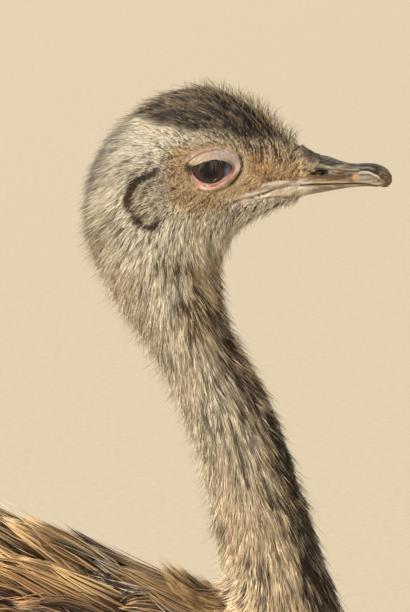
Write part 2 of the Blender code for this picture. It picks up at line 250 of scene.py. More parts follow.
# the legs' middle lines: x, y, z, half-depth, half-width
thighLine = [
    (-272, 78, -450, 92, 70), (-288, 84, -530, 92, 66), (-314, 84, -598, 74, 54),
    (-340, 82, -654, 51, 40), (-362, 80, -704, 32, 27),
]
shankLine = [
    (-362, 80, -704.5, 25, 22), (-382, 79, -750, 21, 19), (-394, 78.5, -778, 25, 22),
    (-400, 78, -802, 28, 24), (-396, 78, -830, 22, 19), (-390, 78, -868, 17.5, 15),
    (-380, 78, -950, 16, 13.5), (-370, 78, -1030, 16, 14), (-364, 78, -1090, 18.5, 17.5),
    (-358, 78, -1138, 20, 20),
]
stride = {"R": -9.0, "L": 9.0}
sideSign = {"R": -1.0, "L": 1.0}


def legPoint(line, side, place, turn, lift):
    # turn 0 is the front of the leg
    row = rowAt(line, place)
    ahead = rowAt(line, place + 0.05) - rowAt(line, place - 0.05)
    down = unit(ahead[..., :3] * np.array((1, 0, 1)))
    fore = np.stack((-down[..., 2], np.zeros_like(turn), down[..., 0]), -1)
    c, s = circle(turn)
    share = np.clip((row[..., 2] - thighLine[0][2]) / (shankLine[-1][2] - thighLine[0][2]), 0, 1)
    y = sideSign[side] * (row[..., 1] + (row[..., 4] + lift) * s)
    point = np.stack((row[..., 0] + stride[side] * share, y, row[..., 2]), -1)
    return point + fore * ((row[..., 3] + lift) * c)[..., None]


def thighDepth(place):
    return np.interp(place, [0, 2, 3.2, 4], [16, 13, 9, 4])


# colours of skin and plumage, by where a feather grows
tones = {
    "cream": (233, 224, 203), "greyCream": (209, 195, 167), "bristle": (196, 168, 124),
    "cap": (36, 29, 23), "capPale": (136, 117, 92), "tan": (208, 180, 141), "tanDark": (116, 88, 60),
    "lore": (224, 188, 140), "pink": (206, 166, 134), "pale": (232, 214, 180), "dark": (44, 34, 26),
    "streak": (88, 71, 51), "earGrey": (196, 182, 158), "earDark": (74, 56, 38),
    "bare": (198, 188, 170), "brown": (132, 98, 66), "brownDark": (58, 40, 28),
    "buff": (214, 180, 128), "silver": (206, 196, 176), "rust": (176, 114, 62),
    "belly": (214, 202, 176), "legSkin": (126, 116, 102), "legDark": (92, 82, 70),
    "horn": (114, 97, 75), "hornDark": (40, 33, 28), "hornPale": (172, 156, 128),
    "hornWarm": (138, 100, 60), "nail": (34, 28, 24), "hornBlue": (110, 109, 106),
}
tones = {name: rgb(*tone) for name, tone in tones.items()}
capEdge = [
    (-66, 10), (-58, 19), (-50, 27), (-41, 30.5), (-31, 29), (-21, 25.5), (-11, 24), (0, 23.5),
    (8, 22.5), (16, 20), (26, 18), (36, 17.5), (43, 16), (49, 13), (53, 8.8), (58, 5.2), (63, 3.8),
]
gape = [(54, -10.6), (47, -10.2), (38.3, -11.3), (31.2, -13.8), (26.8, -15.6), (18, -17.6), (8.1, -19.8)]
bareTop = [(8, -17.5), (16, -15), (24, -12), (31, -8.0), (38, -6.6), (46, -7.0), (62, -8)]
bareLow = [(8, -19.5), (18, -18.3), (30, -16.6), (39, -16.2), (48, -17), (62, -17)]
earRim = [
    (-26, 4.6), (-31, 0.3), (-37, -3.0), (-43.7, -6.2), (-47.4, -12), (-48.6, -20.5), (-45.4, -27.0),
    (-39, -32.0), (-34.6, -33.4), (-31.5, -30.6), (-26.7, -27.2), (-20, -25.2), (-14, -22.5),
]
earArc = [(-35, -6.5), (-39.2, -10.5), (-41.0, -16), (-40.4, -22.5), (-37, -26.5)]
orbit = {"x": 2.4, "z": 2.2, "long": 17.0, "high": 14.2}


def bareShare(x, z):
    # the bare skin beside the mouth
    inside = np.minimum(lineAt(bareTop, x) - z, z - lineAt(bareLow, x))
    return ease(inside, -0.5, 0.9) * ease(x, 10, 22) * ease(-x, -58, -54)


def bareColor(points):
    x, _, z = parted(points)
    slant = z - 0.21 * x
    line = noise(np.stack((x * 0.13, slant, 0 * slant), -1), 1.3, 17)
    below = ease(lineAt(gape[::-1], x) - z, 0.2, 1.2)
    color = layered(
        "bare", ("pink", noise(points, 2.2, 16, (0.4, 1, 1)) * 0.16),
        ("cream", 0.6 * ease(-line, -0.42, -0.24)), ("pale", 0.35 * below),
        ("tanDark", (0.62 - 0.3 * below) * ease(line, 0.6, 0.74)),
    )
    return brighter(color * 0.88, 0.2 * below)


def orbitRho(x, z):
    return np.hypot((x - orbit["x"]) / orbit["long"], (z - orbit["z"]) / orbit["high"])


def neckShare(x, z):
    # 0 at the nape side of the neck and 1 at its front
    table = np.array(outline[8:18])
    back = np.interp(-z, -table[:, 1], table[:, 0])
    front = np.interp(-z, -table[:, 3], table[:, 2])
    return (x - back) / (front - back)


def plumage(points):
    # the coat's colour at points in millimetres, a second colour, and how many feathers have that one
    x, y, z = parted(points)
    wob, wide, fine = (noise(points, size, salt) - 0.5 for size, salt in ((9, 1), (24, 3), (2.2, 2)))
    throat = ease(x, -36, 4) * ease(-z, 12, 30) * ease(z, -140, -100)
    base = brighter(mixed("cream", "greyCream", ease(wide + 0.4 * wob, -0.1, 0.4)), -0.14 * ease(z, -20, 0))
    base = mixed(base, "greyCream", 0.15 * ease(-z - 0.35 * x, 30, 60) * ease(z, -150, -90))
    base = mixed(base, "greyCream", 0.25 * throat)
    base = brighter(base, 0.1 * ease(-z, 12, 24) * ease(z, -130, -90))
    other = layered("streak", ("greyCream", 0.3), ("streak", 0.5 * throat))
    chance = 0.14 + 0.03 * throat
    # the neck: cream behind, made brighter there as painted light on the lit side; streaked and browner
    # towards its front, where the front and a patch high on it are darkened partly by dark feathers and
    # partly as painted shade
    share = neckShare(x, z)
    neck = ease(-z, 60, 100)
    front = ease(share + 0.3 * wob + 0.12 * fine, 0.56, 0.9) * ease(-z, 52, 90)
    middle = ease(share + 0.35 * wide, 0.2, 0.62) * neck
    # a darker patch high on the front of the neck: partly brown feathers, partly painted shade
    patch = ease(share + 0.5 * wob, 0.5, 0.72) * ease(-z, 48, 62) * ease(z, -128, -98)
    patch = np.maximum(patch, ease(wob, 0.18, 0.3) * ease(share, 0.45, 0.6) * neck * ease(z, -190, -150))
    dark = np.maximum(patch, front)
    warmer = 0.1 + 0.34 * ease(-z, 150, 230)
    base = layered(
        base, (mixed("cream", "buff", warmer), ease(-z, 70, 140)),
        (mixed("greyCream", "buff", warmer), 0.25 * middle), (mixed("greyCream", "buff", 0.5), 0.8 * dark),
    )
    # the back of the neck made brighter: painted light on the lit side
    base = brighter(base, 0.12 * ease(-z, 40, 90) * ease(-share, -0.85, -0.4))
    base = brighter(base, 0.1 * ease(-z, 140, 210) * (1 - front))
    calm = ease(-z, 34, 50) * ease(z, -130, -90) * (1 - dark)
    other = layered(
        other, ("streak", 0.6 * middle), (mixed("brownDark", "dark", ease(fine, -0.3, 0.3)), dark),
        (tones["brown"] * 0.8, 0.5 * patch * (1 - front)), ("greyCream", 0.4 * calm),
    )
    chance = chance + 0.1 * middle
    # the front edge of the lower neck darker still: partly dark feathers, partly painted shade where the
    # neck turns from the light
    rightEdge = 0.3 * ease(share, 0.76, 0.92) * ease(-z, 120, 170)
    chance = chance + (0.64 + rightEdge - chance) * np.maximum(0.85 * patch, front)
    chance = chance * (1 - 0.3 * calm)
    # the tan face, with the pale strip over the gape
    face = ease(1.0 - np.hypot((x - 8) / 47, (z + 2.5) / 22) + 0.3 * wob + 0.12 * fine, -0.1, 0.12)
    face = face * ease(x - 0.35 * (z - 8) * (z > 8), -32, -22)
    face = np.maximum(face, ease(x, 34, 46) * ease(-z, -24, -16) * ease(z, -24, -20))
    tan = mixed("tan", "lore", 0.7 * ease(x, 16, 26) * ease(z, -12, -4) * ease(-z, -16, -8))
    jaw = ease(x, 2, 16) * ease(-z, 14, 19) * ease(z, -44, -36)
    brown = np.hypot((x - 27) / 4.5, (z - 8) / 6) + 0.9 * wob + 0.5 * fine
    brown = np.minimum(brown, np.hypot((x - 32.5) / 2.6, (z - 1) / 5.5) + 0.9 * wob + 0.5 * fine)
    brown = np.minimum(brown, np.abs(z - 1.2 - lineAt(bareTop, x)) / 1.6 + 9 * (x < 22) + fine)
    brown = ease(-brown, -1.15, -0.6) * ease(x, 20, 24) * ease(-x, -56, -50)
    strip = bareShare(x, z)
    inEar = ease(1.0 - np.hypot((x + 36) / 12.5, (z + 14.5) / 17), 0, 0.2)
    # under the jaw the cream is the feathers' own colour; the extra brightness (0.12 times) is painted light
    # against the shade under the chin
    base = brighter(layered(base, (tan, face), ("cream", jaw * 0.7)), 0.12 * jaw)
    base = layered(base, ("rust", 0.22 * brown), ("pale", 0.9 * strip), ("earGrey", inEar))
    other = layered(other, ("tanDark", face), ("streak", jaw), ("streak", 0.7 * strip))
    chance = chance + (0.21 - chance) * face
    chance = chance + 0.03 * jaw + 0.05 * brown
    # the ear: grey inside, dark feathers behind and below it
    chance = chance + (0.14 - chance) * inEar
    thick = 2.6 + 1.3 * ease(-x, 38, 44) + 0.7 * wob
    rim = ease(-nearLine(x, z, earRim[1:11]) + 0.3 * fine, -thick, 0.7 - 0.6 * thick) * ease(-x, 24, 35)
    arc = ease(-nearLine(x, z, earArc), -1.2 - 0.6 * wob, -0.3)
    other = mixed(other, "earDark", np.maximum(rim, arc))
    chance = np.maximum(chance, np.maximum(rim, 0.75 * arc))
    # the dark cap, running on as a thin line down the nape
    over = z - lineAt(capEdge, x)
    cap = ease(over + 3 * wob + 3 * fine, -2.6, 2.4)
    nape = ease(-y, -16, -6) * ease(-x, 40, 52) * ease(z, -62, -12)
    cap = np.maximum(cap * ease(x, -70, -62) * ease(z, -80, -60), 0.7 * nape)
    brow = ease(over + 5 * wob, -15, -2) * ease(x, -18, -6)
    brow = np.maximum(brow, 0.7 * ease(over + 5 * wob, -7, 1) * ease(x, -60, -40)) * (1 - cap)
    ahead = ease(x, 42, 50)
    base = brighter(mixed(base, mixed("greyCream", "tan", 0.35), 0.8 * brow), 0.2 * brow * ease(x, 34, 44))
    base = mixed(base, mixed("cap", "dark", 0.8 * ahead), cap)
    other = mixed(other, mixed("cap", "streak", 0.3), 0.9 * brow)
    other = mixed(other, mixed("capPale", "greyCream", 0.5 * ahead), cap)
    chance = chance + (0.35 + 0.16 * ease(x, 4, 16) - 0.24 * ease(x, 36, 45) - chance) * brow
    chance = chance + (0.32 + 0.14 * ahead - chance) * cap
    # the body: brown and buff above, pale below and on the thighs
    body = ease(-x - 0.2 * (z + 240), -10, 4) * ease(-z, 208, 222)
    body = np.maximum(body, ease(-z - 0.5 * x, 330, 400))
    slant = x + 0.4 * (z + 240)
    collar = ease(slant, -62, -36) * ease(z, -268, -244)
    gold = ease(-x, 60, 100) * ease(z, -262, -238) * ease(x, -220, -150)
    rusty = ease(noise(points, 26, 9), 0.6, 0.74) * (0.25 + 0.35 * ease(x, -320, -160))
    back = layered(
        "brown", ("buff", ease(-noise(points, 24, 6, (0.6, 1, 1.8)), -0.62, -0.38)),
        ("silver", ease(noise(points, 16, 8, (0.5, 1, 2)), 0.52, 0.68) * 0.8), ("rust", rusty),
        ("rust", ease(slant, -16, 0) * 0.7), ("buff", np.maximum(0.6 * collar, 0.5 * gold)),
    )
    under = ease(-z + 0.18 * (y - 150), 470, 560)
    base = mixed(base, mixed(back, "belly", under), body)
    other = mixed(other, mixed("brownDark", "greyCream", under), body)
    hollow = ease(noise(points, 20, 7, (0.5, 1, 1.6)), 0.45, 0.65)
    dark = (0.2 + 0.4 * hollow) * (1 - 0.6 * np.maximum(collar, 0.6 * gold))
    return base, other, chance + (dark - chance) * body


def newMaterial(name):
    material = bpy.data.materials.new(name)
    material.use_nodes = True
    return material, material.node_tree, material.node_tree.nodes["Principled BSDF"]


def feed(tree, node, inputs):
    # each input gets a value or another node's output
    for key, value in inputs.items():
        if isinstance(value, bpy.types.NodeSocket):
            tree.links.new(value, node.inputs[key])
        else:
            node.inputs[key].default_value = value


def newNode(tree, kind, inputs, **settings):
    node = tree.nodes.new("ShaderNode" + kind)
    for key, value in settings.items():
        setattr(node, key, value)
    feed(tree, node, inputs)
    return node


def attributeOf(tree, name, output):
    return newNode(tree, "Attribute", {}, attribute_name=name).outputs[output]


def objectPlace(tree):
    return newNode(tree, "TexCoord", {}).outputs["Object"]


def grainOf(tree, size, detail=4.0, rough=0.55, place=None):
    # size is the grain in millimetres
    inputs = {"Scale": 1 / (size * mm), "Detail": detail, "Roughness": rough}
    return newNode(tree, "TexNoise", {**inputs, "Vector": place or objectPlace(tree)}).outputs["Fac"]


def between(tree, factor, low, high):
    return newNode(tree, "MapRange", {"Value": factor, "To Min": low, "To Max": high}).outputs["Result"]


def tint(tree, color, factor, low, high):
    # color times a grey between low and high, chosen by factor
    inputs = {0: 1.0, 6: color, 7: between(tree, factor, low, high)}
    return newNode(tree, "Mix", inputs, data_type="RGBA", blend_type="MULTIPLY").outputs[2]


def bumpOf(tree, height, strength, depth):
    inputs = {"Strength": strength, "Distance": depth * mm, "Height": height}
    return newNode(tree, "Bump", inputs).outputs["Normal"]


def calculated(tree, operation, *values):
    return newNode(tree, "Math", dict(enumerate(values)), operation=operation).outputs["Value"]


def grainedMaterial(name, grain, shades, rough, more, bump=None):
    # the painted tone, made darker and brighter by a grain that also changes the gloss
    material, tree, shader = newMaterial(name)
    factor = grain(tree)
    color = tint(tree, attributeOf(tree, "tone", "Color"), factor, *shades)
    inputs = {"Base Color": color, "Roughness": between(tree, factor, *rough), **more}
    if bump:
        inputs["Normal"] = bumpOf(tree, factor, *bump)
    feed(tree, shader, inputs)
    return material


def featherMaterial():
    return grainedMaterial(
        "plumage", lambda tree: grainOf(tree, 6, 3.0), (0.82, 1.16), (0.5, 0.68),
        {"Specular IOR Level": 0.28, "Sheen Weight": 0.12, "Sheen Roughness": 0.45},
    )


def lidMaterial():
    return grainedMaterial(
        "lidSkin", lambda tree: grainOf(tree, 0.9), (0.84, 1.14), (0.38, 0.62),
        {"Subsurface Weight": 0.12, "Subsurface Scale": 0.0015}, (0.5, 0.3),
    )


def hornMaterial(name, low, high, size):
    def fibres(tree):
        place = newNode(tree, "Mapping", {"Vector": objectPlace(tree), "Scale": (0.22, 1.0, 1.0)})
        return grainOf(tree, size, 5.0, 0.5, place.outputs["Vector"])

    return grainedMaterial(name, fibres, (0.7, 1.25), (low, high), {}, (0.3, 0.25))


def skinMaterial():
    material, tree, shader = newMaterial("birdSkin")
    color = tint(tree, attributeOf(tree, "tone", "Color"), grainOf(tree, 1.1, 3.0), 0.72, 1.18)
    patches = grainOf(tree, 9, 3.0)
    color = tint(tree, color, patches, 0.86, 1.1)
    # larger scales on the legs, below the given heights in metres
    place = objectPlace(tree)
    height = newNode(tree, "SeparateXYZ", {0: place}).outputs["Z"]
    onLeg = newNode(tree, "MapRange", {"Value": height, "From Min": 0.47, "From Max": 0.45})
    small, large = (
        newNode(tree, "TexVoronoi", {"Scale": 1 / (size * mm), "Vector": place}) for size in (2.2, 5.5)
    )
    scales = calculated(tree, "MULTIPLY", large.outputs["Distance"], onLeg.outputs["Result"])
    relief = calculated(tree, "MULTIPLY_ADD", scales, -3.0, small.outputs["Distance"])
    feed(tree, shader, {
        "Base Color": tint(tree, color, scales, 1.12, 0.55), "Roughness": between(tree, patches, 0.55, 0.75),
        "Specular IOR Level": 0.3, "Normal": bumpOf(tree, relief, 0.35, 0.5),
    })
    return material


def newObject(name, data):
    obj = bpy.data.objects.new(name, data)
    bpy.context.scene.collection.objects.link(obj)
    return obj


def giveMesh(name, bm, material=None):
    mesh = bpy.data.meshes.new(name)
    bm.to_mesh(mesh)
    bm.free()
    mesh.shade_smooth()
    if material:
        mesh.materials.append(material)
    return newObject(name, mesh)


def gridOf(points, closedAlong=False):
    # a round grid bent to points[row][column] and welded at its seam
    points = toFrame(points)
    rows, columns = points.shape[:2]
    steps = rows if closedAlong else rows - 1
    bm = bmesh.new()
    bmesh.ops.create_grid(bm, x_segments=columns, y_segments=steps, size=1.0)
    for v in bm.verts:
        i = round((v.co.x + 1) / 2 * columns) % columns
        j = round((v.co.y + 1) / 2 * steps) % rows
        v.co = points[j, i]
    bmesh.ops.remove_doubles(bm, verts=bm.verts, dist=1e-7)
    if not closedAlong:
        bmesh.ops.holes_fill(bm, edges=[e for e in bm.edges if e.is_boundary])
    bmesh.ops.recalc_face_normals(bm, faces=bm.faces)
    return bm


def paint(obj, colors):
    layer = obj.data.attributes.new("tone", "FLOAT_COLOR", "POINT")
    rgba = np.ones((len(obj.data.vertices), 4), np.float32)
    rgba[:, :3] = colors
    layer.data.foreach_set("color", rgba.ravel())


def places(obj):
    # the vertices of an object, in millimetres from between the eyes
    co = np.zeros(len(obj.data.vertices) * 3)
    obj.data.vertices.foreach_get("co", co)
    return (co.reshape(-1, 3) - eyeMiddle) / mm


def wear(obj, slot, *nodes):
    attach(obj, "root")
    if nodes:
        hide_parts(*nodes)
    return obj


# the skin: one closed shell for head, neck, trunk, legs and toes
skinBuild = {  # places along the outline with the number of rings between them
    "sides": 200, "rings": ((0.02, 4.6, 190), (4.6, 10, 56), (10, 17, 50), (17, lastPlace, 56)),
}


def faceRelief(points):
    # how far the skin of the face stands in (-) or out (+), in millimetres
    x, y, z = parted(points)
    rho, fold = orbitRho(x, z), nearLine(x, z, gape)
    move = -3.4 * ease(-rho, -0.9, -0.7)
    move += 0.9 * bell(rho - 1.12, 0.14)
    move -= (0.7 + 0.7 * ease(-x, -34, -26)) * bell(fold, 0.7) * ease(-x, -60, -44)
    move += 0.5 * bell(fold - 2.0, 1.1) * ease(-x, -60, -40)
    move -= 1.3 * ease(x, 46, 51.5)
    move -= 1.2 * bell(nearLine(x, z, earRim[:11]), 1.8)
    move += bareShare(x, z) * (0.5 + 0.5 * np.sin(1.5 * (z - 0.12 * x) + 2 * noise(points, 5, 15)))
    move += 0.45 * (noise(points, 2.6, 12) - 0.5) * ease(x, -40, -20)
    return move * ease(y, 4, 12)


def skinTube():
    line = [np.linspace(low, high, n, endpoint=high == lastPlace) for low, high, n in skinBuild["rings"]]
    place, turn = rings(np.concatenate(line), skinBuild["sides"])
    points = birdShell(place, turn, np.zeros_like(place))
    out = birdShell(place, turn, np.ones_like(place)) - points
    relief = faceRelief(points) * ease(-points[..., 2], -60, -50) * (place < 9)
    return giveMesh("skinTube", gridOf(points + unit(out) * relief[..., None]))


def legTube(side):
    place, turn = rings(np.linspace(0.0, len(thighLine) - 1, 22), 48)
    thigh = legPoint(thighLine, side, place, turn, -thighDepth(place))
    place, turn = rings(np.linspace(0.0, len(shankLine) - 1, 90), 48)
    shank = legPoint(shankLine, side, place, turn, -0.9)
    return giveMesh("leg_" + side, gridOf(np.concatenate((thigh[:-2], shank[1:]))))


foot = {"rootX": -352, "rootY": 78, "sink": 0.22, "depth": 1.75}
padRings = [  # height over the floor, x, half-depth, half-width
    (0.25, -356, 23.0, 19.0), (3, -356, 27.0, 22.5), (9, -356, 29.2, 24.2), (17, -356, 28.6, 23.8),
    (26, -356.5, 25.6, 22.0), (36, -357.5, 22.0, 20.0), (48, -359, 19.0, 18.2), (62, -361, 16.6, 16.4),
]
toeSizes = {  # turn outward in degrees, length, half-width at root and end, joints
    "inner": (-27, 84, 10.6, 7.1, 3),
    "middle": (0, 126, 13.1, 8.6, 4),
    "outer": (29, 92, 11.1, 7.1, 3),
}


def padShape(side):
    level, turn = rings(np.linspace(0, len(padRings) - 1, 36), 40)
    row = rowAt(padRings, level)
    c, s = circle(turn)
    x = row[..., 1] + stride[side] + row[..., 2] * c
    y = sideSign[side] * foot["rootY"] + row[..., 3] * s
    z = floorLevel + np.maximum(row[..., 0], 0.25)
    return giveMesh("pad_" + side, gridOf(np.stack((x, y, z), -1)))


def toeFrame(side, name):
    turn = math.radians(toeSizes[name][0])
    way = np.array((math.cos(turn), sideSign[side] * math.sin(turn), 0.0))
    start = np.array((foot["rootX"] + stride[side], sideSign[side] * foot["rootY"], floorLevel))
    return start, way, np.array((-way[1], way[0], 0.0))


def toeHalves(name, t):
    # half the toe's width and half its height
    _, _, root, end, joints = toeSizes[name]
    half = root + (end - root) * t + 1.0 * np.cos(2 * math.pi * joints * t)
    half = half * (1 - 0.55 * ease(t, 0.93, 1.0))
    return half, half * foot["depth"] / 2 * (1.12 - 0.22 * t)


def toeShape(side, name):
    start, way, across = toeFrame(side, name)
    t, turn = rings(np.linspace(0, 1, 54), 28)
    half, high = toeHalves(name, t)
    c, s = circle(turn, 0.88, 0.88)
    points = start + way * (toeSizes[name][1] * t)[..., None] + across * (half * s)[..., None]
    points[..., 2] += np.maximum(high * (1 - foot["sink"]) + high * c, 0.25)
    return giveMesh(f"toe_{name}_{side}_skin", gridOf(points))


def unite(base, others):
    for other in others:
        join = base.modifiers.new("join", "BOOLEAN")
        join.operation = "UNION"
        join.solver = "EXACT"
        join.object = other
    bpy.context.view_layer.update()
    graph = bpy.context.evaluated_depsgraph_get()
    mesh = bpy.data.meshes.new_from_object(base.evaluated_get(graph))
    for obj in (base, *others):
        bpy.data.objects.remove(obj)
    return mesh


def makeSkin():
    print("skin")
    legs = []
    for side in ("R", "L"):
        toes = [toeShape(side, name) for name in toeSizes]
        legs.append(newObject("leg", unite(legTube(side), [padShape(side), *toes])))
    mesh = unite(skinTube(), legs)
    mesh.shade_smooth()
    skin = newObject("skin", mesh)
    mesh.materials.clear()
    mesh.materials.append(skinMaterial())
    points = places(skin)
    x, y, z = points.T
    base, other, chance = plumage(points)
    # the skin under the coat takes the plumage colour darkened to 0.62: painted shade deep between the
    # feathers
    color = mixed(base, other, np.clip(0.25 + 0.6 * chance, 0, 1)) * 0.62
    onSide = np.abs(y) > 4
    # a near-black line along the mouth's crease, where a groove is also cut: painted shade in the crease
    fold = bell(nearLine(x, z, gape), 0.5) * (z > -30) * onSide * (0.5 + 0.5 * ease(-x, -39, -33))
    scaled = mixed("legSkin", "legDark", noise(points, 14, 14))
    paint(skin, layered(
        color, (bareColor(points), bareShare(x, z) * onSide), ("dark", 0.95 * fold),
        (scaled, ease(-z, 690, 712) * (x < -250)),
    ))
    wear(
        skin, "body_plumage", "head", "ear_L", "ear_R", "neck_upper", "neck_middle", "neck_lower",
        "trunk", "tail", "wing_L", "wing_R", "thigh_L", "thigh_R", "shank_L", "shank_R", "foot_L",
        "foot_R", *[f"toe_{t}_{s}" for t in toeSizes for s in "LR"],
    )
    return skin


flowMarks = [  # x, z, way the feathers lie in degrees, 180 straight back and 270 straight down
    (58, 8, 15), (50, 12, 42), (43, 17, 82), (36, 22, 110), (30, 30, 130), (17, 36, 148), (-3, 43, 170),
    (-27, 39, 188), (-45, 30, 205), (52, 4, 48), (44, 6, 52), (36, 5, 58), (46, -2, 44), (37, -2, 50),
    (28, 6, 70), (36, 13, 82), (27, 15, 98), (17, 20, 114), (6, 22, 126), (-5, 22, 142), (-15, 20, 154),
    (8, 30, 146), (-8, 33, 166), (-26, 20, 166), (-40, 20, 178), (-36, 12, 184), (-47, 6, 196),
    (-58, 10, 204), (-66, -5, 214), (-38, 4, 200), (-44, -6, 232), (-47, -16, 240), (-20, 8, 190),
    (-22, -6, 215), (-14, -14, 225), (-52, -20, 228), (-47, -34, 238), (-70, -28, 228), (-66, -48, 238),
    (-58, -68, 250), (-46, -90, 264), (-31, -4, 182), (-32, -14, 182), (-37, -19, 200), (-35, -27, 225),
    (-30, -36, 240), (-18, -38, 246), (5, -20, 225), (22, -8, 200), (28, -24, 240), (10, -34, 250),
    (2, -50, 285), (-26, -58, 262), (-20, -90, 270), (2, -72, 294), (2, -96, 290), (-12, -120, 284),
    (10, -122, 297),
]


def flowAt(points):
    # the way feathers lie, seen from the side
    x, z = points[..., 0], points[..., 2]
    way = np.zeros(points.shape)
    for markX, markZ, turn in flowMarks:
        weight = 1 / ((x - markX) ** 2 + (z - markZ) ** 2 + 18) ** 2
        way[..., 0] += weight * math.cos(math.radians(turn))
        way[..., 2] += weight * math.sin(math.radians(turn))
    return unit(way)


def stepAlong(shell, u, v, length, heading, flow):
    # how far u and v change for a step of that length over the shell
    mid = np.full_like(u, 0.5)
    du, dv = 0.02, 0.002
    pu = (shell(u + du, v, mid) - shell(u - du, v, mid)) / (2 * du)
    pv = (shell(u, v + dv, mid) - shell(u, v - dv, mid)) / (2 * dv)
    e = unit(pu)
    normal = unit(np.cross(pu, pv))
    if flow:
        lie = flowAt(shell(u, v, mid))
        lie = lie - (lie * normal).sum(1, keepdims=True) * normal
        e = unit(mixed(unit(lie + 0.15 * e), e, ease(u, 11.2, 13.2)))
    side = np.cross(normal, e)
    way = e * np.cos(heading)[:, None] + side * np.sin(heading)[:, None]
    uu, uv, vv = (pu * pu).sum(1), (pu * pv).sum(1), (pv * pv).sum(1)
    a, b = (way * pu).sum(1), (way * pv).sum(1)
    det = np.maximum(uu * vv - uv * uv, 1e-6)
    return (a * vv - b * uv) / det * length, (b * uu - a * uv) / det * length, normal


def traceFeathers(shell, u, v, length, heading, heights, uLast, flow):
    # points along each feather, lying over the shell at the given heights
    rings = heights.shape[1]
    step = length / (rings - 1)
    points, normals = [shell(u, v, heights[:, 0])], []
    for k in range(1, rings):
        du, dv, normal = stepAlong(shell, u, v, step, heading[:, k - 1], flow)
        if k == 1:
            normals.append(normal)
        ahead = u + du
        reached = shell(np.clip(ahead, 0, uLast), v + dv, heights[:, k])
        if k > 1:
            straight = points[-1] + unit(points[-1] - points[-2]) * step[:, None]
            reached = np.where(((ahead > uLast) | (ahead < 0))[:, None], straight, reached)
        points.append(reached)
        normals.append(normal)
        u, v = np.clip(ahead, -0.5, uLast + 0.5), v + dv
    return np.stack(points, 1), np.stack(normals, 1)


def evened(values):
    # ranks from 0 to 1
    return np.argsort(np.argsort(values)) / len(values)


def streaks(shell, u, v, size, uLast, flow):
    # noise drawn out along the lie of the feathers, evened to 0 to 1
    half = np.full_like(u, 0.5)
    total = noise(shell(u, v, half), size, 31)
    for way in (1, -1):
        a, b = u, v
        for _ in range(14):
            da, db, _ = stepAlong(shell, a, b, np.full_like(u, 0.8 * way * size), 0 * u, flow)
            a, b = np.clip(a + da, 0, uLast), b + db
            total = total + noise(shell(a, b, half), size, 31)
    return evened(total)


def featherMesh(name, points, normals, widths, thick, colors, edges, uv, material):
    # closed three-sided spikes: a ring of three corners at each point but the last, which is the tip
    count, rows = points.shape[:2]
    tangents = np.zeros_like(points)
    tangents[:, 1:-1] = points[:, 2:] - points[:, :-2]
    tangents[:, 0] = points[:, 1] - points[:, 0]
    tangents[:, -1] = points[:, -1] - points[:, -2]
    side = unit(np.cross(unit(tangents), normals))
    up = unit(np.cross(side, unit(tangents)))[:, :-1]
    body, side = points[:, :-1], side[:, :-1]
    w, t = widths[:, :-1, None], thick[:, :-1, None]
    corners = np.stack((body + side * w - up * t * 0.5, body - side * w - up * t * 0.5, body + up * t), 2)
    verts = np.concatenate((corners.reshape(count, -1, 3), points[:, -1:]), 1)
    per = verts.shape[1]
    faces = [(0, 1, 2)]
    for k in range(rows - 2):
        a, b = 3 * k, 3 * k + 3
        for i, j in ((0, 1), (1, 2), (2, 0)):
            faces += [(a + j, a + i, b + i), (a + j, b + i, b + j)]
    a = 3 * (rows - 2)
    faces += [(a + j, a + i, per - 1) for i, j in ((0, 1), (1, 2), (2, 0))]
    index = (np.array(faces)[None] + (np.arange(count) * per)[:, None, None]).reshape(-1)
    mesh = bpy.data.meshes.new(name)
    mesh.vertices.add(count * per)
    mesh.vertices.foreach_set("co", toFrame(verts.reshape(-1, 3)).astype(np.float32).ravel())
    mesh.loops.add(len(index))
    mesh.loops.foreach_set("vertex_index", index.astype(np.int32))
    mesh.polygons.add(len(index) // 3)
    mesh.polygons.foreach_set("loop_start", np.arange(0, len(index), 3, dtype=np.int32))
    mesh.polygons.foreach_set("use_smooth", np.ones(len(index) // 3, bool))
    mesh.update(calc_edges=True)
    mesh.materials.append(material)
    obj = newObject(name, mesh)
    tone = np.stack((edges[:, :-1], edges[:, :-1], colors[:, :-1]), 2).reshape(count, -1, 3)
    paint(obj, np.concatenate((tone, colors[:, -1:]), 1).reshape(-1, 3))
    # each feather bakes from one small patch at its root's place
    patch = 0.003
    local = np.zeros((per, 2))
    for k in range(rows - 1):
        local[3 * k : 3 * k + 3, 0] = (0.0, patch, patch / 2)
        local[3 * k : 3 * k + 3, 1] = patch * k / (rows - 1)
    local[-1] = (patch / 2, patch)
    spots = (uv * (1 - patch))[:, None, :] + local[None]
    layer = mesh.uv_layers.new(name="OFBake")
    layer.data.foreach_set("uv", spots.reshape(-1, 2)[index].astype(np.float32).ravel())
    return obj


def shared(s, key, u, v, root):
    # a setting that is a number or a function of the root's place
    return s[key](u, v, root) if callable(s[key]) else np.full_like(u, s[key])


def rootSpots(s, rng, shell):
    # even random roots over a patch of the shell
    many = int(s["count"] * 4)
    u = rng.uniform(*s["along"], many)
    v = rng.uniform(*s["round"], many)
    mid = np.zeros(many)
    pu = (shell(u + 0.02, v, mid) - shell(u - 0.02, v, mid)) / 0.04
    pv = (shell(u, v + 0.002, mid) - shell(u, v - 0.002, mid)) / 0.004
    root = shell(u, v, mid)
    area = np.linalg.norm(np.cross(pu, pv), axis=1) * shared(s, "dense", u, v, root)
    area = area * shared(s, "keep", u, v, root)
    keep = rng.random(many) < area / np.percentile(area, 97)
    return u[keep][: s["count"]], v[keep][: s["count"]]


def nearestLeaders(root, share, rng):
    leaders = rng.choice(len(root), max(int(len(root) * share), 1), replace=False)
    tree = KDTree(len(leaders))
    for k in leaders:
        tree.insert(root[k], int(k))
    tree.balance()
    return np.array([tree.find(p)[1] for p in root])


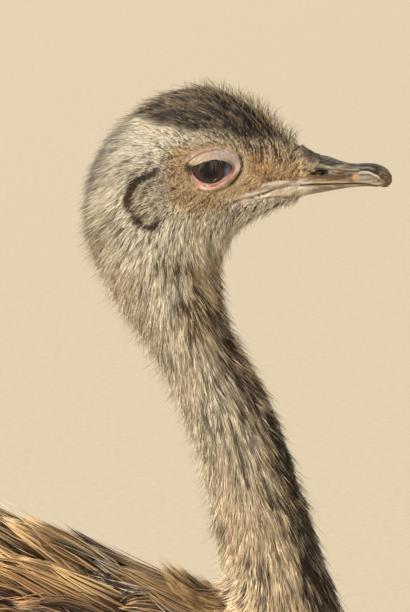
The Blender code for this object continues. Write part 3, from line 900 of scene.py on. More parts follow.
coatUsual = {  # what a coat piece has where it doesn't say otherwise
    "rings": 4, "dense": 1.0, "keep": 1.0, "locks": 0.07, "close": 0.55, "wild": 0.03, "wildRise": 0.6,
    "arch": 0.75, "sway": 12, "wave": 9, "loose": 5, "curl": 20, "lean": 0.0, "crisp": 0.3, "flat": 0.8,
    "taper": (0.7, 1.0, 0.8, 0.0), "streak": 5.0, "stripes": 0.9, "contrast": 0.28, "locksPale": 0.0,
    "rootShade": 0.5, "tip": 1.15, "edgeShade": 0.8, "edgeShare": 0.6,
}


def coatPiece(name, own, slot, material, shell=birdShell, uLast=lastPlace - 0.3, flow=False):
    s = {**coatUsual, **own}
    rng = np.random.default_rng(s["seed"])
    u, v = rootSpots(s, rng, shell)
    root = shell(u, v, np.zeros_like(u))
    count, rows = len(u), s["rings"]
    lead = nearestLeaders(root, s["locks"], rng)
    length = shared(s, "length", u, v, root) * rng.uniform(0.7, 1.15, count)
    wild = rng.random(count) < s["wild"]
    t = np.linspace(0, 1, rows)
    rise = shared(s, "rise", u, v, root) * rng.uniform(0.5, 1.0, count)
    rise = rise * (0.8 + 0.4 * rng.random(count)[lead]) + wild * s["wildRise"]
    heights = -0.12 + (rise[:, None] + 0.12) * t[None] ** s["arch"]
    # neighbours wander together, and close on a leader's tip to make a lock
    wander = (noise(root, s["wave"], 21) - 0.5) * 2 * math.radians(s["sway"])
    single = rng.normal(0, math.radians(s["loose"]), count)
    heading = np.stack([wander * (0.5 + 0.8 * k / rows) + single for k in range(rows - 1)], 1)
    curl = (rng.random(count)[lead] - 0.5 + 0.5 * (rng.random(count) - 0.5)) * math.radians(s["curl"])
    heading = heading + curl[:, None] * np.linspace(-1, 1, rows - 1)[None]
    heading = heading + shared(s, "lean", u, v, root)[:, None]
    points, normals = traceFeathers(shell, u, v, length, heading, heights, uLast, flow)
    close = s["close"] * t**1.2 * np.where(wild, 0.2, 1.0)[:, None]
    points = points * (1 - close[..., None]) + points[lead] * close[..., None]
    taper = np.interp(t, np.linspace(0, 1, len(s["taper"])), s["taper"])
    widths = (s["wide"] * rng.uniform(0.65, 1.3, count) * np.where(wild, 0.7, 1))[:, None] * taper[None]
    middle = points[:, rows // 2, None]
    nearEar = ease(-nearLine(root[:, 0], root[:, 2], earRim[1:]), -12, -7)[:, None, None]
    base, other, chance = plumage(middle + (points - middle) * (s["crisp"] + (1 - s["crisp"]) * nearEar))
    line = streaks(shell, u, v, s["streak"], uLast, flow)
    stripe = evened(line * s["stripes"] + rng.random(count)[lead] * 0.2 + rng.random(count) * 0.14)
    tone = mixed(base, other, ease(stripe[:, None], 1 - chance - 0.07, 1 - chance + 0.07))
    bright = s["contrast"] * (rng.random(count)[lead] - 0.5) + s["contrast"] * (rng.random(count) - 0.5)
    tone = tone * (1 + bright)[:, None, None] * (1 + s["locksPale"] * (0.45 - line))[:, None, None]
    # each feather is darker at its root and brighter at its tip: painted shade where the feathers cover one
    # another and painted light on the tips; edgeShade darkens the lower edges as painted shade
    shade = np.interp(t, [0, 0.3, 1], [s["rootShade"], 0.92, s["tip"]])[None, :, None]
    colors = tone * shade
    if "paleTip" in s:
        pick = (rng.random(count)[lead] < s["paleTip"]) * ease(stripe, 0.3, 0.6)
        colors = mixed(colors, tones["cream"] * 0.95, pick[:, None] * ease(t, 0.35, 1.0)[None])
    edges = colors * s["edgeShade"]
    if "edgeTone" in s:
        pick = ease(rng.random(count), 0.3, 0.7) * s["edgeShare"]
        edges = mixed(edges, s["edgeTone"](root)[:, None] * shade, pick[:, None] * np.ones(rows))
    (lowU, highU), (lowV, highV) = s["along"], s["round"]
    uv = np.clip(np.stack(((u - lowU) / (highU - lowU), (v - lowV) / (highV - lowV)), 1), 0, 1)
    obj = featherMesh(name, points, normals, widths, widths * s["flat"], colors, edges, uv, material)
    print("coat", name, count, len(obj.data.polygons))
    return wear(obj, slot)


def sideOf(side, low, high):
    # the same patch on either side: turns count down from the top
    return (low, high) if side == "R" else (1 - high, 1 - low)


def backOfBase(u, v):
    # where the back of the neck turns into the shoulders
    return ease(u, 12.8, 14.6) * ease(towardTop(v), 0.1, 0.7)


def clearOfFace(root):
    # no feathers on the lids or in the corner of the mouth
    x, y, z = parted(root)
    lids = orbitRho(x, z) < 0.98 - 0.07 * ease(z + 0.4 * (2 - x), -4, 6) * noise(root, 1.5, 73)
    mouth = (nearLine(x, z, gape) < 1.2) | (bareShare(x, z) > 0.25 + 0.5 * noise(root, 1.2, 74))
    return ~((lids | mouth) & (y > 7))


def featherLength(u, v, p):
    # short on the face, long on the nape and neck
    x, _, z = parted(p)
    away = np.hypot((x - 8) / 44, (z + 1) / 24)
    length = 2.0 + 7.5 * ease(away, 0.75, 1.5) + 4.5 * ease(-x, 26, 50) + 5.0 * ease(-z, 50, 110)
    ear = ease(-np.hypot((x + 36) / 12, (z + 15) / 16), -1.2, -0.7)
    rim = ease(-nearLine(x, z, earRim[1:11]), -5.5, -2)
    return length * (1 - 0.34 * ear) * (1 - 0.45 * rim)


def plumeEdge(points):
    # the vanes' edges: golden buff, rusty or dark beside the pale shafts
    edge = mixed("brownDark", "rust", ease(noise(points, 14, 61), 0.45, 0.7))
    return mixed(edge, "buff", ease(noise(points, 11, 62), 0.55, 0.75))


def collarEdge(points):
    return mixed(plumeEdge(points), "buff", 0.6)


shortCoat = {  # the close feathers of head and neck
    "rings": 3, "taper": (0.9, 1.0, 0.0), "curl": 10, "sway": 8, "loose": 3.5, "close": 0.45, "locks": 0.12,
}
plumes = {  # the long feathers of the body
    "rings": 4, "flat": 0.4, "arch": 0.6, "curl": 30, "rootShade": 0.4, "locks": 0.1, "contrast": 0.4,
    "edgeTone": plumeEdge, "taper": (0.5, 1.0, 1.0, 0.7, 0.0), "wildRise": 0.2,
}
longTaper = (0.5, 1.0, 1.0, 0.85, 0.5, 0.0)


def headPiece(name, settings, material, slot="head_plumage"):
    coatPiece(name, {**shortCoat, **settings}, slot, material, flow=True)


def outside(shell, tree):
    # keeps the roots where the shell's surface is outside the skin
    def test(u, v, root):
        good = np.ones(len(u), bool)
        for i, spot in enumerate(toFrame(shell(u, v, np.full_like(u, 0.5)))):
            place = Vector(spot)
            near, normal, _, _ = tree.find_nearest(place)
            good[i] = (place - near).dot(normal) > 0
        return good

    return test


def coatHead(side, amount, feather):
    headPiece("coat_face_" + side, {
        "seed": 11, "count": int(17000 * amount), "along": (0.03, 7.8), "round": sideOf(side, 0.085, 0.5),
        "wide": 0.14, "length": featherLength, "rise": 1.0, "taper": (0.9, 0.9, 0.0),
        "keep": lambda u, v, p: clearOfFace(p) * ease(-featherLength(u, v, p), -9, -5),
        "dense": lambda u, v, p: 1.6 - 1.0 * ease(featherLength(u, v, p), 3, 6),
        "rootShade": 0.76, "tip": 1.16, "close": 0.2, "loose": 12, "stripes": 0.5, "streak": 0.5,
        "contrast": 0.4, "crisp": 0.8, "sway": 12, "curl": 20, "locks": 0.07,
    }, feather)
    headPiece("coat_cheek_" + side, {
        "seed": 12, "count": int(16800 * amount), "along": (2.6, 10.2), "round": sideOf(side, 0.06, 0.5),
        "wide": 0.17, "length": featherLength, "rise": lambda u, v, p: 1.15 + 0.4 * ease(-p[:, 0], 45, 65),
        "keep": lambda u, v, p: clearOfFace(p) * ease(featherLength(u, v, p), 4.0, 6.0),
        "rootShade": 0.8, "tip": 1.18, "wild": 0.1, "wildRise": 1.0, "streak": 0.8, "crisp": 0.6,
        "locksPale": 0.3,
    }, feather)


def coatNeck(side, amount, feather):
    headPiece("coat_neck_upper_" + side, {
        "seed": 13, "count": int(15000 * amount), "along": (9.3, 13.2), "round": sideOf(side, 0.0, 0.5),
        "wide": 0.2, "length": 17, "rise": 1.25, "paleTip": 0.12, "rootShade": 0.88, "tip": 1.26,
        "wild": 0.08, "wildRise": 1.0, "streak": 0.85, "locksPale": 0.35,
    }, feather, "neck_plumage")
    headPiece("coat_neck_lower_" + side, {
        "seed": 14, "count": int(15000 * amount), "along": (12.9, 17.6), "round": sideOf(side, 0.0, 0.5),
        "wide": 0.26, "flat": 0.7, "rise": 1.2, "paleTip": 0.2, "rootShade": 0.88, "tip": 1.28,
        "length": lambda u, v, p: (20 + 6 * ease(u, 13.5, 16.5)) * (1 - 0.62 * backOfBase(u, v)),
        "keep": lambda u, v, p: u < 15.1 + 1.1 * (1 - towardTop(v)),
        "lean": lambda u, v, p: np.sign(p[:, 1]) * 0.07, "wild": 0.06, "streak": 1.0,
        "locksPale": 0.4, "contrast": 0.34,
    }, feather, "neck_plumage")


def coatWing(side, amount, feather):
    coatPiece("coat_shoulder_" + side, {
        "seed": 16, "count": int(5600 * amount), "along": (15.0, 20.6), "round": sideOf(side, 0.0, 0.3),
        "rings": 5 if side == "L" else 6, "wide": 0.85, "flat": 0.5, "arch": 0.5,
        "keep": lambda u, v, p: u > 15.0 + 1.1 * (1 - towardTop(v)),
        "length": lambda u, v, p: 13 + 46 * ease(u, 15.8, 17.6),
        "rise": lambda u, v, p: 1.05 - 0.3 * ease(u, 16.6, 17.4) * ease(-u, -18.6, -18.0),
        "curl": 90, "sway": 34, "wave": 30, "loose": 4, "streak": 2.6, "locks": 0.035, "close": 0.78,
        "contrast": 0.7, "stripes": 0.6, "wildRise": 0.1, "tip": 1.04, "edgeTone": plumeEdge,
        "taper": longTaper,
    }, "body_plumage", feather)
    coatPiece("coat_wing_" + side, {
        **plumes, "seed": 17, "count": 2300, "along": (19.6, 27.4), "round": sideOf(side, 0.08, 0.3),
        "rings": 5, "wide": 2.4, "rise": 1.0, "sway": 16, "wave": 90, "rootShade": 0.35,
        "length": lambda u, v, p: (120 + 40 * ease(u, 20, 24)) * (1 - 0.5 * ease(u, 25.0, 27.4)),
        "lean": lambda u, v, p: np.sign(p[:, 1]) * -0.16, "locks": 0.12, "close": 0.5,
        "taper": longTaper, "wild": 0.02,
    }, "body_plumage", feather)


def coatThigh(side, feather, tree):
    def thigh(u, v, height):
        return legPoint(thighLine, side, u, v, -thighDepth(u) * (1 - height))

    coatPiece("coat_thigh_" + side, {
        "seed": 18, "count": 1700, "along": (0.2, 3.97), "round": (0.0, 1.0), "wide": 1.9, "flat": 0.4,
        "length": lambda u, v, p: 48 - 26 * ease(u, 2, 4), "rise": 0.85, "keep": outside(thigh, tree),
        "contrast": 0.3, "sway": 10, "wave": 40,
    }, "body_plumage", feather, shell=thigh, uLast=3.99)


trunkCoats = {  # seed, count, along, round, length, width
    "coat_breast": (19, 2900, (15.6, 19.8), (0.26, 0.74), 40, 1.5),
    "coat_belly": (20, 2300, (19.6, 27.2), (0.28, 0.72), 70, 2.8),
    "coat_back": (21, 2100, (20.4, 27.6), (-0.09, 0.09), 105, 2.2),
    "coat_tail": (22, 1300, (27.0, 29.6), (0.0, 1.0), 62, 2.2),
}


def coatTrunk(feather, tree):
    for name, (seed, count, along, turns, length, wide) in trunkCoats.items():
        coatPiece(name, {
            **plumes, "seed": seed, "count": count, "along": along, "round": turns, "wide": wide,
            "length": lambda u, v, p: length * (1 - 0.62 * ease(u, 27.6, 29.4)), "rise": 1.05,
            "sway": 14, "wave": 60, "keep": outside(birdShell, tree),
        }, "body_plumage", feather)
    coatPiece("coat_collar", {
        "seed": 24, "count": 1500, "along": (15.4, 17.3), "round": (-0.12, 0.12), "wide": 0.22,
        "length": 12, "rise": lambda u, v, p: 1.45 - 0.35 * ease(u, 16.2, 17.3), "arch": 0.8, "loose": 14,
        "flat": 0.7, "curl": 40, "sway": 14, "rootShade": 0.6, "locks": 0.1, "close": 0.5, "contrast": 0.5,
        "streak": 2.5, "edgeTone": collarEdge, "taper": (0.7, 1.0, 0.7, 0.0),
    }, "body_plumage", feather)


def coatCap(side, amount, feather):
    headPiece("coat_cap_" + side, {
        "seed": 15, "count": int(10500 * amount), "along": (0.25, 9.8), "round": sideOf(side, 0.0, 0.15),
        "wide": 0.18, "length": lambda u, v, p: 5 + 12 * ease(u, 0.8, 2.6),
        "rise": lambda u, v, p: 1.2 + 0.3 * ease(u, 5, 7), "curl": 8, "loose": 3, "locks": 0.08,
        "close": 0.5, "rootShade": 0.8, "contrast": 0.4, "wild": 0.08, "streak": 1.15, "stripes": 1.4,
    }, feather)


def coatBridle(feather):
    # the short feathers that run onto the root of the bill
    def billTop(u, v, height):
        points = billSkin(upperBill, True, u, v)
        out = points - np.stack((points[..., 0], 0 * u, 0 * u - 6.0), -1)
        thick = 0.8 + 3.4 * ease(-points[..., 0], -64, -50) * ease(points[..., 2], -6, 4)
        return points + unit(out) * (thick * height - 0.15)[..., None]

    def lean(u, v, p):
        return np.sign(p[:, 1]) * (0.3 + 0.6 * ease(-p[:, 0], -60, -51)) * ease(-p[:, 2], -8, -3)

    coatPiece("coat_bridle", {
        "rings": 3, "seed": 23, "count": 2600, "along": (0.0, 1.5), "round": (-0.25, 0.25), "wide": 0.17,
        "length": 4.2, "rise": 1.0, "streak": 0.8, "loose": 12, "close": 0.3, "locks": 0.12, "lean": lean,
        "keep": lambda u, v, p: p[:, 0] < 53 + 6.5 * ease(p[:, 2], -7, 5) + 3.5 * noise(p, 3, 71),
        "rootShade": 0.75, "tip": 1.2, "taper": (0.9, 0.9, 0.0), "stripes": 0.7, "contrast": 0.4,
        "crisp": 0.6,
    }, "head_plumage", feather, shell=billTop, uLast=7.5)


def makeCoat(skin):
    print("coat")
    feather = featherMaterial()
    tree = BVHTree.FromObject(skin, bpy.context.evaluated_depsgraph_get())
    for side, amount in (("R", 1.0), ("L", 0.3)):
        coatHead(side, amount, feather)
        coatNeck(side, amount, feather)
        coatWing(side, amount, feather)
        coatThigh(side, feather, tree)
    coatTrunk(feather, tree)
    for side, amount in (("R", 1.0), ("L", 0.4)):
        coatCap(side, amount, feather)
    coatBridle(feather)
    makeBristles(feather)


def hairPiece(name, points, outward, widths, thick, color, uv, material):
    normals = np.broadcast_to(np.array((0.0, outward, 0.0)), points.shape)
    color = color[:, None] * np.ones((points.shape[1], 1))
    hairs = featherMesh(name, points, normals, widths, widths * thick, color, color, uv, material)
    wear(hairs, "head_plumage")


def makeBristles(material):
    # thin upright bristles on the crown and forehead, and short ones under the chin and down the nape
    s = {"seed": 31, "crown": 430, "chin": 620, "nape": 1000, "wide": 0.095}
    rng = np.random.default_rng(s["seed"])
    u = np.concatenate((
        rng.beta(1.5, 2.0, s["crown"]) * 4.8 + 0.35, rng.uniform(0.1, 5.5, s["chin"]),
        rng.uniform(4.6, 13.5, s["nape"]),
    ))
    count = len(u)
    top = np.arange(count) < s["crown"]
    nape = np.arange(count) >= s["crown"] + s["chin"]
    v = np.where(top | nape, rng.normal(0, 0.05, count), rng.normal(0.5, 0.07, count))
    root = birdShell(u, v, np.full_like(u, 0.5))
    out = unit(birdShell(u, v, np.full_like(u, 2.0)) - root)
    topLength = rng.uniform(3.5, 10.5, count) + np.interp(u, [0.4, 1, 2, 3, 4.5], [0, 3.5, 7.5, 5.5, 0])
    length = np.where(top, topLength, rng.uniform(3, 6.5, count) + ease(u, 2, 5) * 4.5)
    lean = rng.normal(0, 0.24, (count, 3))
    lean[:, 2] += np.where(top, 0.7, -0.2) - 1.3 * nape * ease(u, 5.0, 7.5)
    lean[:, 0] += np.where(top, -0.25 * ease(u, 1.5, 4.0) + 0.1, -0.5) - 0.5 * nape * ease(-u, -7.5, -5.0)
    t = np.linspace(0, 1, 5)
    way = unit(out * 0.7 + lean)
    bend = np.zeros_like(way)
    bend[:, 0] = rng.normal(-0.1, 0.25, count) + 0.25 * ease(-u, -2.2, -0.8) * top
    bend[:, 2] = -0.15
    reach = length[:, None] * t
    points = root[:, None] + way[:, None] * reach[..., None] + bend[:, None] * (reach * t)[..., None]
    widths = s["wide"] * np.array((1, 1, 0.85, 0.6, 0)) * rng.uniform(0.7, 1.4, count)[:, None]
    dark = rng.random(count) ** 0.45 * (0.7 + 0.3 * ease(-u, -1.6, -0.8))
    pale = np.where(rng.random(count) < 0.6, 0.8, 0.1) * nape
    # the crown's bristles run from the cap's dark to golden brown: partly their own colour, partly painted
    # light shining through them from behind
    color = np.where(top[:, None], mixed("bristle", "cap", dark), mixed("greyCream", "tanDark", pale))
    hairPiece("coat_bristles", points, -1.0, widths, 1.0, color, np.stack((u / 14, v % 1.0), -1), material)


# the bill: horn, above and below
upperBill = [  # x, culmen z, mouth z, half-width
    (50.0, 10.2, -11.0, 12.6), (60.0, 6.2, -10.3, 12.0), (68.5, 4.7, -10.3, 11.1),
    (77.0, 1.6, -10.2, 10.2), (85.0, 0.4, -10.0, 9.5), (92.5, 0.4, -10.6, 9.2),
    (98.5, -0.4, -12.2, 8.4), (103.2, -2.8, -12.8, 6.0), (106.0, -6.6, -10.4, 2.2),
]
lowerBill = [
    (50.0, -10.9, -19.4, 11.5), (60.0, -10.3, -17.2, 10.6), (68.5, -10.3, -15.6, 9.5),
    (77.0, -10.2, -14.0, 8.6), (85.0, -10.0, -12.9, 7.8), (92.5, -10.5, -12.6, 6.8),
    (97.8, -12.0, -13.2, 4.2),
]
billLook = {
    "nostril": (63.6, -3.1), "nostrilLong": 5.6, "nostrilHigh": 1.75, "nostrilDeep": 2.6,
    "groove": [(53, -2.0), (60, -3.2), (72, -2.9), (83, -4.6)],
    "nail": [(86, -3.4), (88.5, -3.0), (92, -3.3), (96.7, -5.4), (99.9, -8.2), (101, -11)],
    "edge": [(50, -8.3), (75, -8.2), (94, -8.6)],
    "lipBand": [(50, -9.4), (75, -9.2), (94, -9.9)],
}


def billSkin(rows, upper, place, turn):
    row = rowAt(rows, place)
    x, high, low, half = row[..., 0], row[..., 1], row[..., 2], row[..., 3]
    c = towardTop(turn)
    base = low + 0.28 * (high - low) if upper else high - 0.3 * (high - low)
    outer = c > 0 if upper else c < 0
    narrow = np.interp(x, [50, 75, 95], [1.75, 1.85, 2.2])
    c, s = circle(turn, 2 / np.where(outer, narrow, 5.0), 2 / np.where(outer, 2.2, 5.0))
    return np.stack((x, -half * s, base + np.where(c > 0, high - base, base - low) * c), -1)


def billRelief(points):
    # horn pushed in for the nostril, the groove before it and the line round the nail
    b = billLook
    x, y, z = parted(points)
    onSide = ease(y, 3.0, 5.5)
    dx, dz = x - b["nostril"][0], z - b["nostril"][1] - 0.06 * (x - b["nostril"][0])
    hole = 1 - (dx / b["nostrilLong"]) ** 2 - (dz / b["nostrilHigh"]) ** 2
    line = nearLine(x, z, b["nail"])
    move = -b["nostrilDeep"] * ease(hole, -0.05, 0.75) * onSide
    move += 0.28 * (bell(hole + 0.55, 0.4) * onSide)
    move -= 0.75 * bell(nearLine(x, z, b["groove"]), 2.0) * onSide
    move -= 0.35 * bell(line, 0.55) * ease(x, 83, 86)
    move -= 0.25 * bell(nearLine(x, z, b["edge"]), 0.5) * onSide
    move += 0.3 * (noise(points, 1.6, 41, (0.25, 1, 1)) - 0.5)
    return move, hole, line


def lowerColor(points, streaks):
    x, _, z = parted(points)
    # below this line the lower mandible turns darker and warmer: painted shade on its underside
    below = np.interp(x, [50, 60, 77, 97], [-16.4, -14.9, -12.6, -12.2]) - z
    return 0.74 * layered(
        rgb(176, 160, 133), ("horn", ease(streaks, 0.35, 0.6) * 0.75),
        ("hornWarm", ease(below, -0.4, 1.2) * 0.6), ("horn", 0.6 * ease(x, 84, 95)),
        ("hornDark", 0.6 * ease(streaks, 0.72, 0.9) * ease(-x, -88, -60)),
        (bareColor(points), ease(-x, -62, -52)),
    )


def upperColor(points, streaks, hole, line):
    x, y, z = parted(points)
    lines = noise(points, 1.0, 46, (0.1, 1, 1.4))
    rusty = ease(noise(points, 5, 43, (0.5, 1, 1)), 0.38, 0.62) * ease(-z, -0.5, 3) * ease(z, -9.5, -7)
    ridge = ease(z - np.interp(x, [50, 60, 77, 92], [1.5, 1.0, -2.8, -3.2]), -1.2, 1.6)
    glint = bell(z - np.interp(x, [50, 77, 92], [3.4, -1.3, -2.2]), 0.7) * ease(x, 60, 68)
    shadow = np.hypot((x - 70.5) / 11.5, (z + 5.5) / 2.1) + 0.5 * (streaks - 0.5)
    amber = np.hypot((x - 85) / 3.2, (z + 6.2) / 2.6)
    grey = np.hypot((x - 90.5) / 4.6, (z + 5.8) / 1.5)
    lip = ease(-nearLine(x, z, billLook["lipBand"]), -2.1, -0.6) * (1 - 0.5 * ease(x, 84, 94))
    paleSlit = bell(nearLine(x, z, [(68.0, -2.5), (74.0, -2.4)]), 0.5)
    darkSlit = bell(nearLine(x, z + 0.8, [(68.0, -2.5), (72.0, -2.4)]), 0.35)
    nail = np.maximum(nearSide(x, z, billLook["nail"]) * ease(x, 86, 88), ease(x, 99.5, 101))
    tip = mixed(rgb(78, 60, 42), rgb(134, 104, 68), ease(streaks, 0.4, 0.7))
    shine = bell(z - np.interp(x, [84, 92, 100], [-1.3, -0.9, -3.0]), 0.45) * ease(x, 84, 88)
    # arc: a pale line along the nail's lower edge, a painted highlight
    arc = bell(line, 0.42) * ease(x, 85, 88) * ease(-x, -100, -97.5)
    behind = bell(nearLine(x, z + 1.4, billLook["nail"]), 0.5) * ease(x, 85, 88) * ease(-x, -99, -95)
    # the nostril's inside: near black as painted shade in the hole, round the flap's own brown
    flap = np.hypot((x - 62.3) / 2.2, (z + 3.7) / 0.8)
    inside = mixed(rgb(20, 15, 13), rgb(120, 88, 58), 0.9 * ease(-flap, -1.15, -0.6))
    return layered(
        "horn",
        ("hornBlue", ease(noise(points, 3, 45, (0.35, 1, 1)), 0.45, 0.7) * 0.7),
        ("hornWarm", rusty * 0.8),
        ("hornPale", 0.8 * ease(streaks, 0.6, 0.78)),
        ("hornDark", 0.85 * ease(-streaks, -0.4, -0.24)),
        (mixed("hornBlue", "horn", 0.5), 0.6 * ridge),
        ("hornDark", ridge * (0.25 + 0.65 * ease(lines, 0.45, 0.62))),
        ("hornPale", 0.7 * ease(-lines, -0.34, -0.2) * ease(x, 60, 66)),
        ("hornPale", 0.6 * glint * ease(streaks, 0.3, 0.6)),
        (mixed("hornDark", "hornWarm", 0.2), 0.9 * ease(-shadow, -1.2, -0.6)),
        (rgb(176, 134, 84), 0.8 * ease(-amber, -1.2, -0.4)),
        (rgb(136, 136, 132), 0.8 * ease(-grey, -1.2, -0.4)),
        (mixed(rgb(176, 156, 126), rgb(128, 106, 86), ease(lines, 0.45, 0.6)), 0.85 * lip),
        (rgb(132, 128, 120), 0.8 * paleSlit),
        ("hornDark", 0.7 * darkSlit),
        (mixed(bareColor(points), "tanDark", ease(z, -8, -5)), ease(-x + 3 * lines, -60, -54)),
        (mixed("nail", tip, ease(x, 96.5, 100.5)), 0.95 * nail),
        (rgb(150, 136, 114), 0.7 * nail * shine * ease(-x, -97, -94)),
        # painted highlight along the nail's edge
        (rgb(212, 196, 166), 0.9 * arc),
        ("hornDark", 0.6 * behind),
        # painted shade inside the nostril
        (inside, ease(hole, -0.1, 0.4) * ease(y, 3, 5.5)),
    )


def nearSide(x, z, line):
    # 1 above and ahead of a line that falls towards the tip
    return ease(z - lineAt(line, x), -0.3, 0.5)


def makeBill():
    print("bill")
    material = hornMaterial("billHorn", 0.28, 0.5, 1.4)
    for name, rows, node in (("upper", upperBill, "beak_upper"), ("lower", lowerBill, "beak_lower")):
        upper = name == "upper"
        place, turn = rings(np.linspace(0, len(rows) - 1, 150), 120)
        points = billSkin(rows, upper, place, turn)
        if upper:
            middle = points * (1, 0, 0)
            middle[..., 2] = points[..., 2].mean(1, keepdims=True)
            points = points + unit(points - middle) * billRelief(points)[0][..., None]
        obj = giveMesh("bill_" + name, gridOf(points), material)
        spots = places(obj)
        _, hole, line = billRelief(spots)
        streaks = noise(spots, 1.1, 42, (0.16, 1, 1.2))
        color = upperColor(spots, streaks, hole, line) if upper else lowerColor(spots, streaks)
        paint(obj, color * (0.75 + 0.5 * noise(spots, 0.5, 44, (0.3, 1, 1)))[:, None])
        wear(obj, "bill_horn", node)


eyeLook = {"radius": 13.5, "out": 14.6, "axis": (-1.2, 1.4), "reach": 14.0}
lidMargin = [
    (12.6, 1.6), (11.0, 4.0), (8.4, 5.7), (4.5, 6.7), (-1.4, 6.3), (-5.7, 4.8), (-9.0, 3.6),
    (-11.2, 2.8), (-10.5, -0.8), (-8.4, -3.4), (-5.4, -5.5), (-1.2, -6.6), (3.3, -5.9), (6.8, -3.5),
    (9.8, -1.6),
]
lidOuter = [
    (19.8, 2.8), (19.0, 7.0), (17.0, 10.6), (12.8, 13.9), (4.5, 16.4), (-3.8, 15.8), (-11.6, 12.6),
    (-14.8, 8.0), (-15.6, 3.4), (-14.4, -2.0), (-11.5, -7.6), (-6.5, -11.7), (-0.5, -12.6),
    (6.2, -10.4), (12.0, -8.2), (17.5, -1.5),
]
lidCrease = [(-15.1, 3.5), (-10.5, 8.2), (-5.1, 11.3), (2.9, 12.9), (8.5, 12.2)]
lidFrontEdge = [(16.6, 9.4), (17.9, 6.2), (18.2, 2.6), (16.6, -1.2), (13.9, -5.0), (11.2, -7.8)]
lidFrontFold = [(10.5, 6.8), (13.2, 3.2), (13.6, 1.2), (12.0, -2.4), (9.4, -4.6)]
lidMiddle = np.array((0.0, 0.3))
lidGrooves = ((lidCrease, 0.55, 0.5), (lidFrontEdge, 0.4, 0.7), (lidFrontFold, 0.3, 0.5))  # depth, width


def aroundLoop(loop, angle):
    # the loop's point at each angle from the lids' middle
    loop = np.array(loop) - lidMiddle
    a = np.arctan2(loop[:, 1], loop[:, 0])
    order = np.argsort(a)
    a, r = a[order], np.hypot(*loop[order].T)
    a = np.concatenate((a - 2 * math.pi, a, a + 2 * math.pi))
    wrapped = (angle + math.pi) % (2 * math.pi) - math.pi
    reach = sum(np.interp(wrapped + k * 0.05, a, np.tile(r, 3)) * (4 - abs(k)) for k in range(-3, 4)) / 16
    return lidMiddle + np.stack((reach * np.cos(wrapped), reach * np.sin(wrapped)), -1)


irisRings = [  # share of the way out from the pupil's middle, colour
    (0.0, (7, 5, 5)), (0.3, (8, 6, 6)), (0.38, (30, 22, 20)), (0.52, (58, 42, 38)), (0.64, (68, 48, 48)),
    (0.69, (18, 13, 14)), (0.73, (92, 100, 120)), (0.84, (138, 138, 150)), (0.96, (160, 120, 112)),
]


def rampOf(tree, factor, stops):
    node = newNode(tree, "ValToRGB", {"Fac": factor})
    ramp = node.color_ramp
    while len(ramp.elements) < len(stops):
        ramp.elements.new(0.5)
    for element, (place, color) in zip(ramp.elements, stops):
        element.position = place
        element.color = (*rgb(*color), 1.0)
    return node.outputs["Color"]


def irisMaterial():
    material, tree, shader = newMaterial("wetEye")
    ring = attributeOf(tree, "fromAxis", "Fac")
    flecked = calculated(tree, "MULTIPLY_ADD", grainOf(tree, 1.6), 0.09, ring)
    feed(tree, shader, {
        "Base Color": rampOf(tree, flecked, irisRings), "Roughness": 0.08, "IOR": 1.33,
        "Specular IOR Level": 0.3, "Coat Weight": 0.12, "Coat Roughness": 0.03,
    })
    return material


def lidColor(x, z, share):
    # share is 0 at the margin and 1 at the outer edge
    def grain(size, salt):
        return noise(np.stack((x, z, 0 * x), -1), size, salt)

    tan = mixed("tanDark", "tan", grain(0.8, 72)) * 0.8
    peach, brown = rgb(184, 150, 124), rgb(84, 50, 38)
    band = noise(np.stack((0.35 * x, 9 * share, 0 * x), -1), 1.0, 77)
    low = layered(
        mixed(rgb(214, 162, 140), peach, ease(share, 0.25, 0.6)),
        (rgb(232, 212, 198), 0.8 * ease(band, 0.5, 0.7)),
        (rgb(206, 120, 100), 0.6 * ease(-band, -0.42, -0.26)),
        (rgb(228, 204, 188), bell(share - 0.5, 0.13) * ease(x, -9, -4) * ease(-x, -8, -4)),
        (rgb(150, 122, 112), bell(share - 0.06, 0.07) * 0.9),
        (rgb(206, 92, 82), bell(share - 0.27, 0.09) * ease(x, -3, 0) * ease(-x, -6, -3)),
        (brown, bell(share - 0.24, 0.08) * bell(x + 3.6, 0.8)),
    )
    over = nearSide(x, z, np.array(lidCrease) - (0, 0.3)) * ease(-x, -12, -4)
    color = layered(
        mixed(rgb(184, 164, 138), rgb(184, 164, 150), ease(x, -4, 4)), (peach, 0.9 * over),
        (low, ease(-z, -2.5, 1.0)),
        (tan, 0.85 * (ease(-x, 8.0, 11.0) * ease(-z, -4, 1)) * ease(share, 0.1, 0.3)),
        (tan, ease(share + 0.35 * (grain(0.7, 75) - 0.5), 0.62, 0.9) * 0.95),
    )
    tail = nearLine(x, z, [(-14.0, 2.5), (-13.2, -1.0), (-12.0, -5.0)])
    return 0.76 * layered(
        color * (0.78 + 0.44 * grain(1.1, 76))[:, None],
        # dark lines along the crease, the front edge and the front fold, where the lid's grooves are cut:
        # painted shade in the folds
        (brown, 0.85 * bell(nearLine(x, z, lidCrease), 0.32) * ease(-x, -9, 0)),
        (rgb(26, 19, 16), 0.98 * bell(nearLine(x, z, lidFrontEdge), 0.95)),
        (rgb(132, 96, 80), 0.7 * bell(nearLine(x, z, lidFrontFold), 0.35)),
        (rgb(46, 34, 26), 0.95 * bell(np.hypot(x + 13.6, z - 3.2), 1.5)),
        (rgb(66, 46, 34), 0.8 * bell(tail, 0.5)),
        (rgb(60, 40, 34), 0.7 * ease(-share, -0.07, -0.01) * ease(z, -1, 2)),
    )


def onBall(x, z, more):
    # how far out the eyeball's surface is, and a little more
    return eyeLook["out"] + np.sqrt(np.maximum((eyeLook["radius"] + more) ** 2 - x * x - z * z, 1.0))


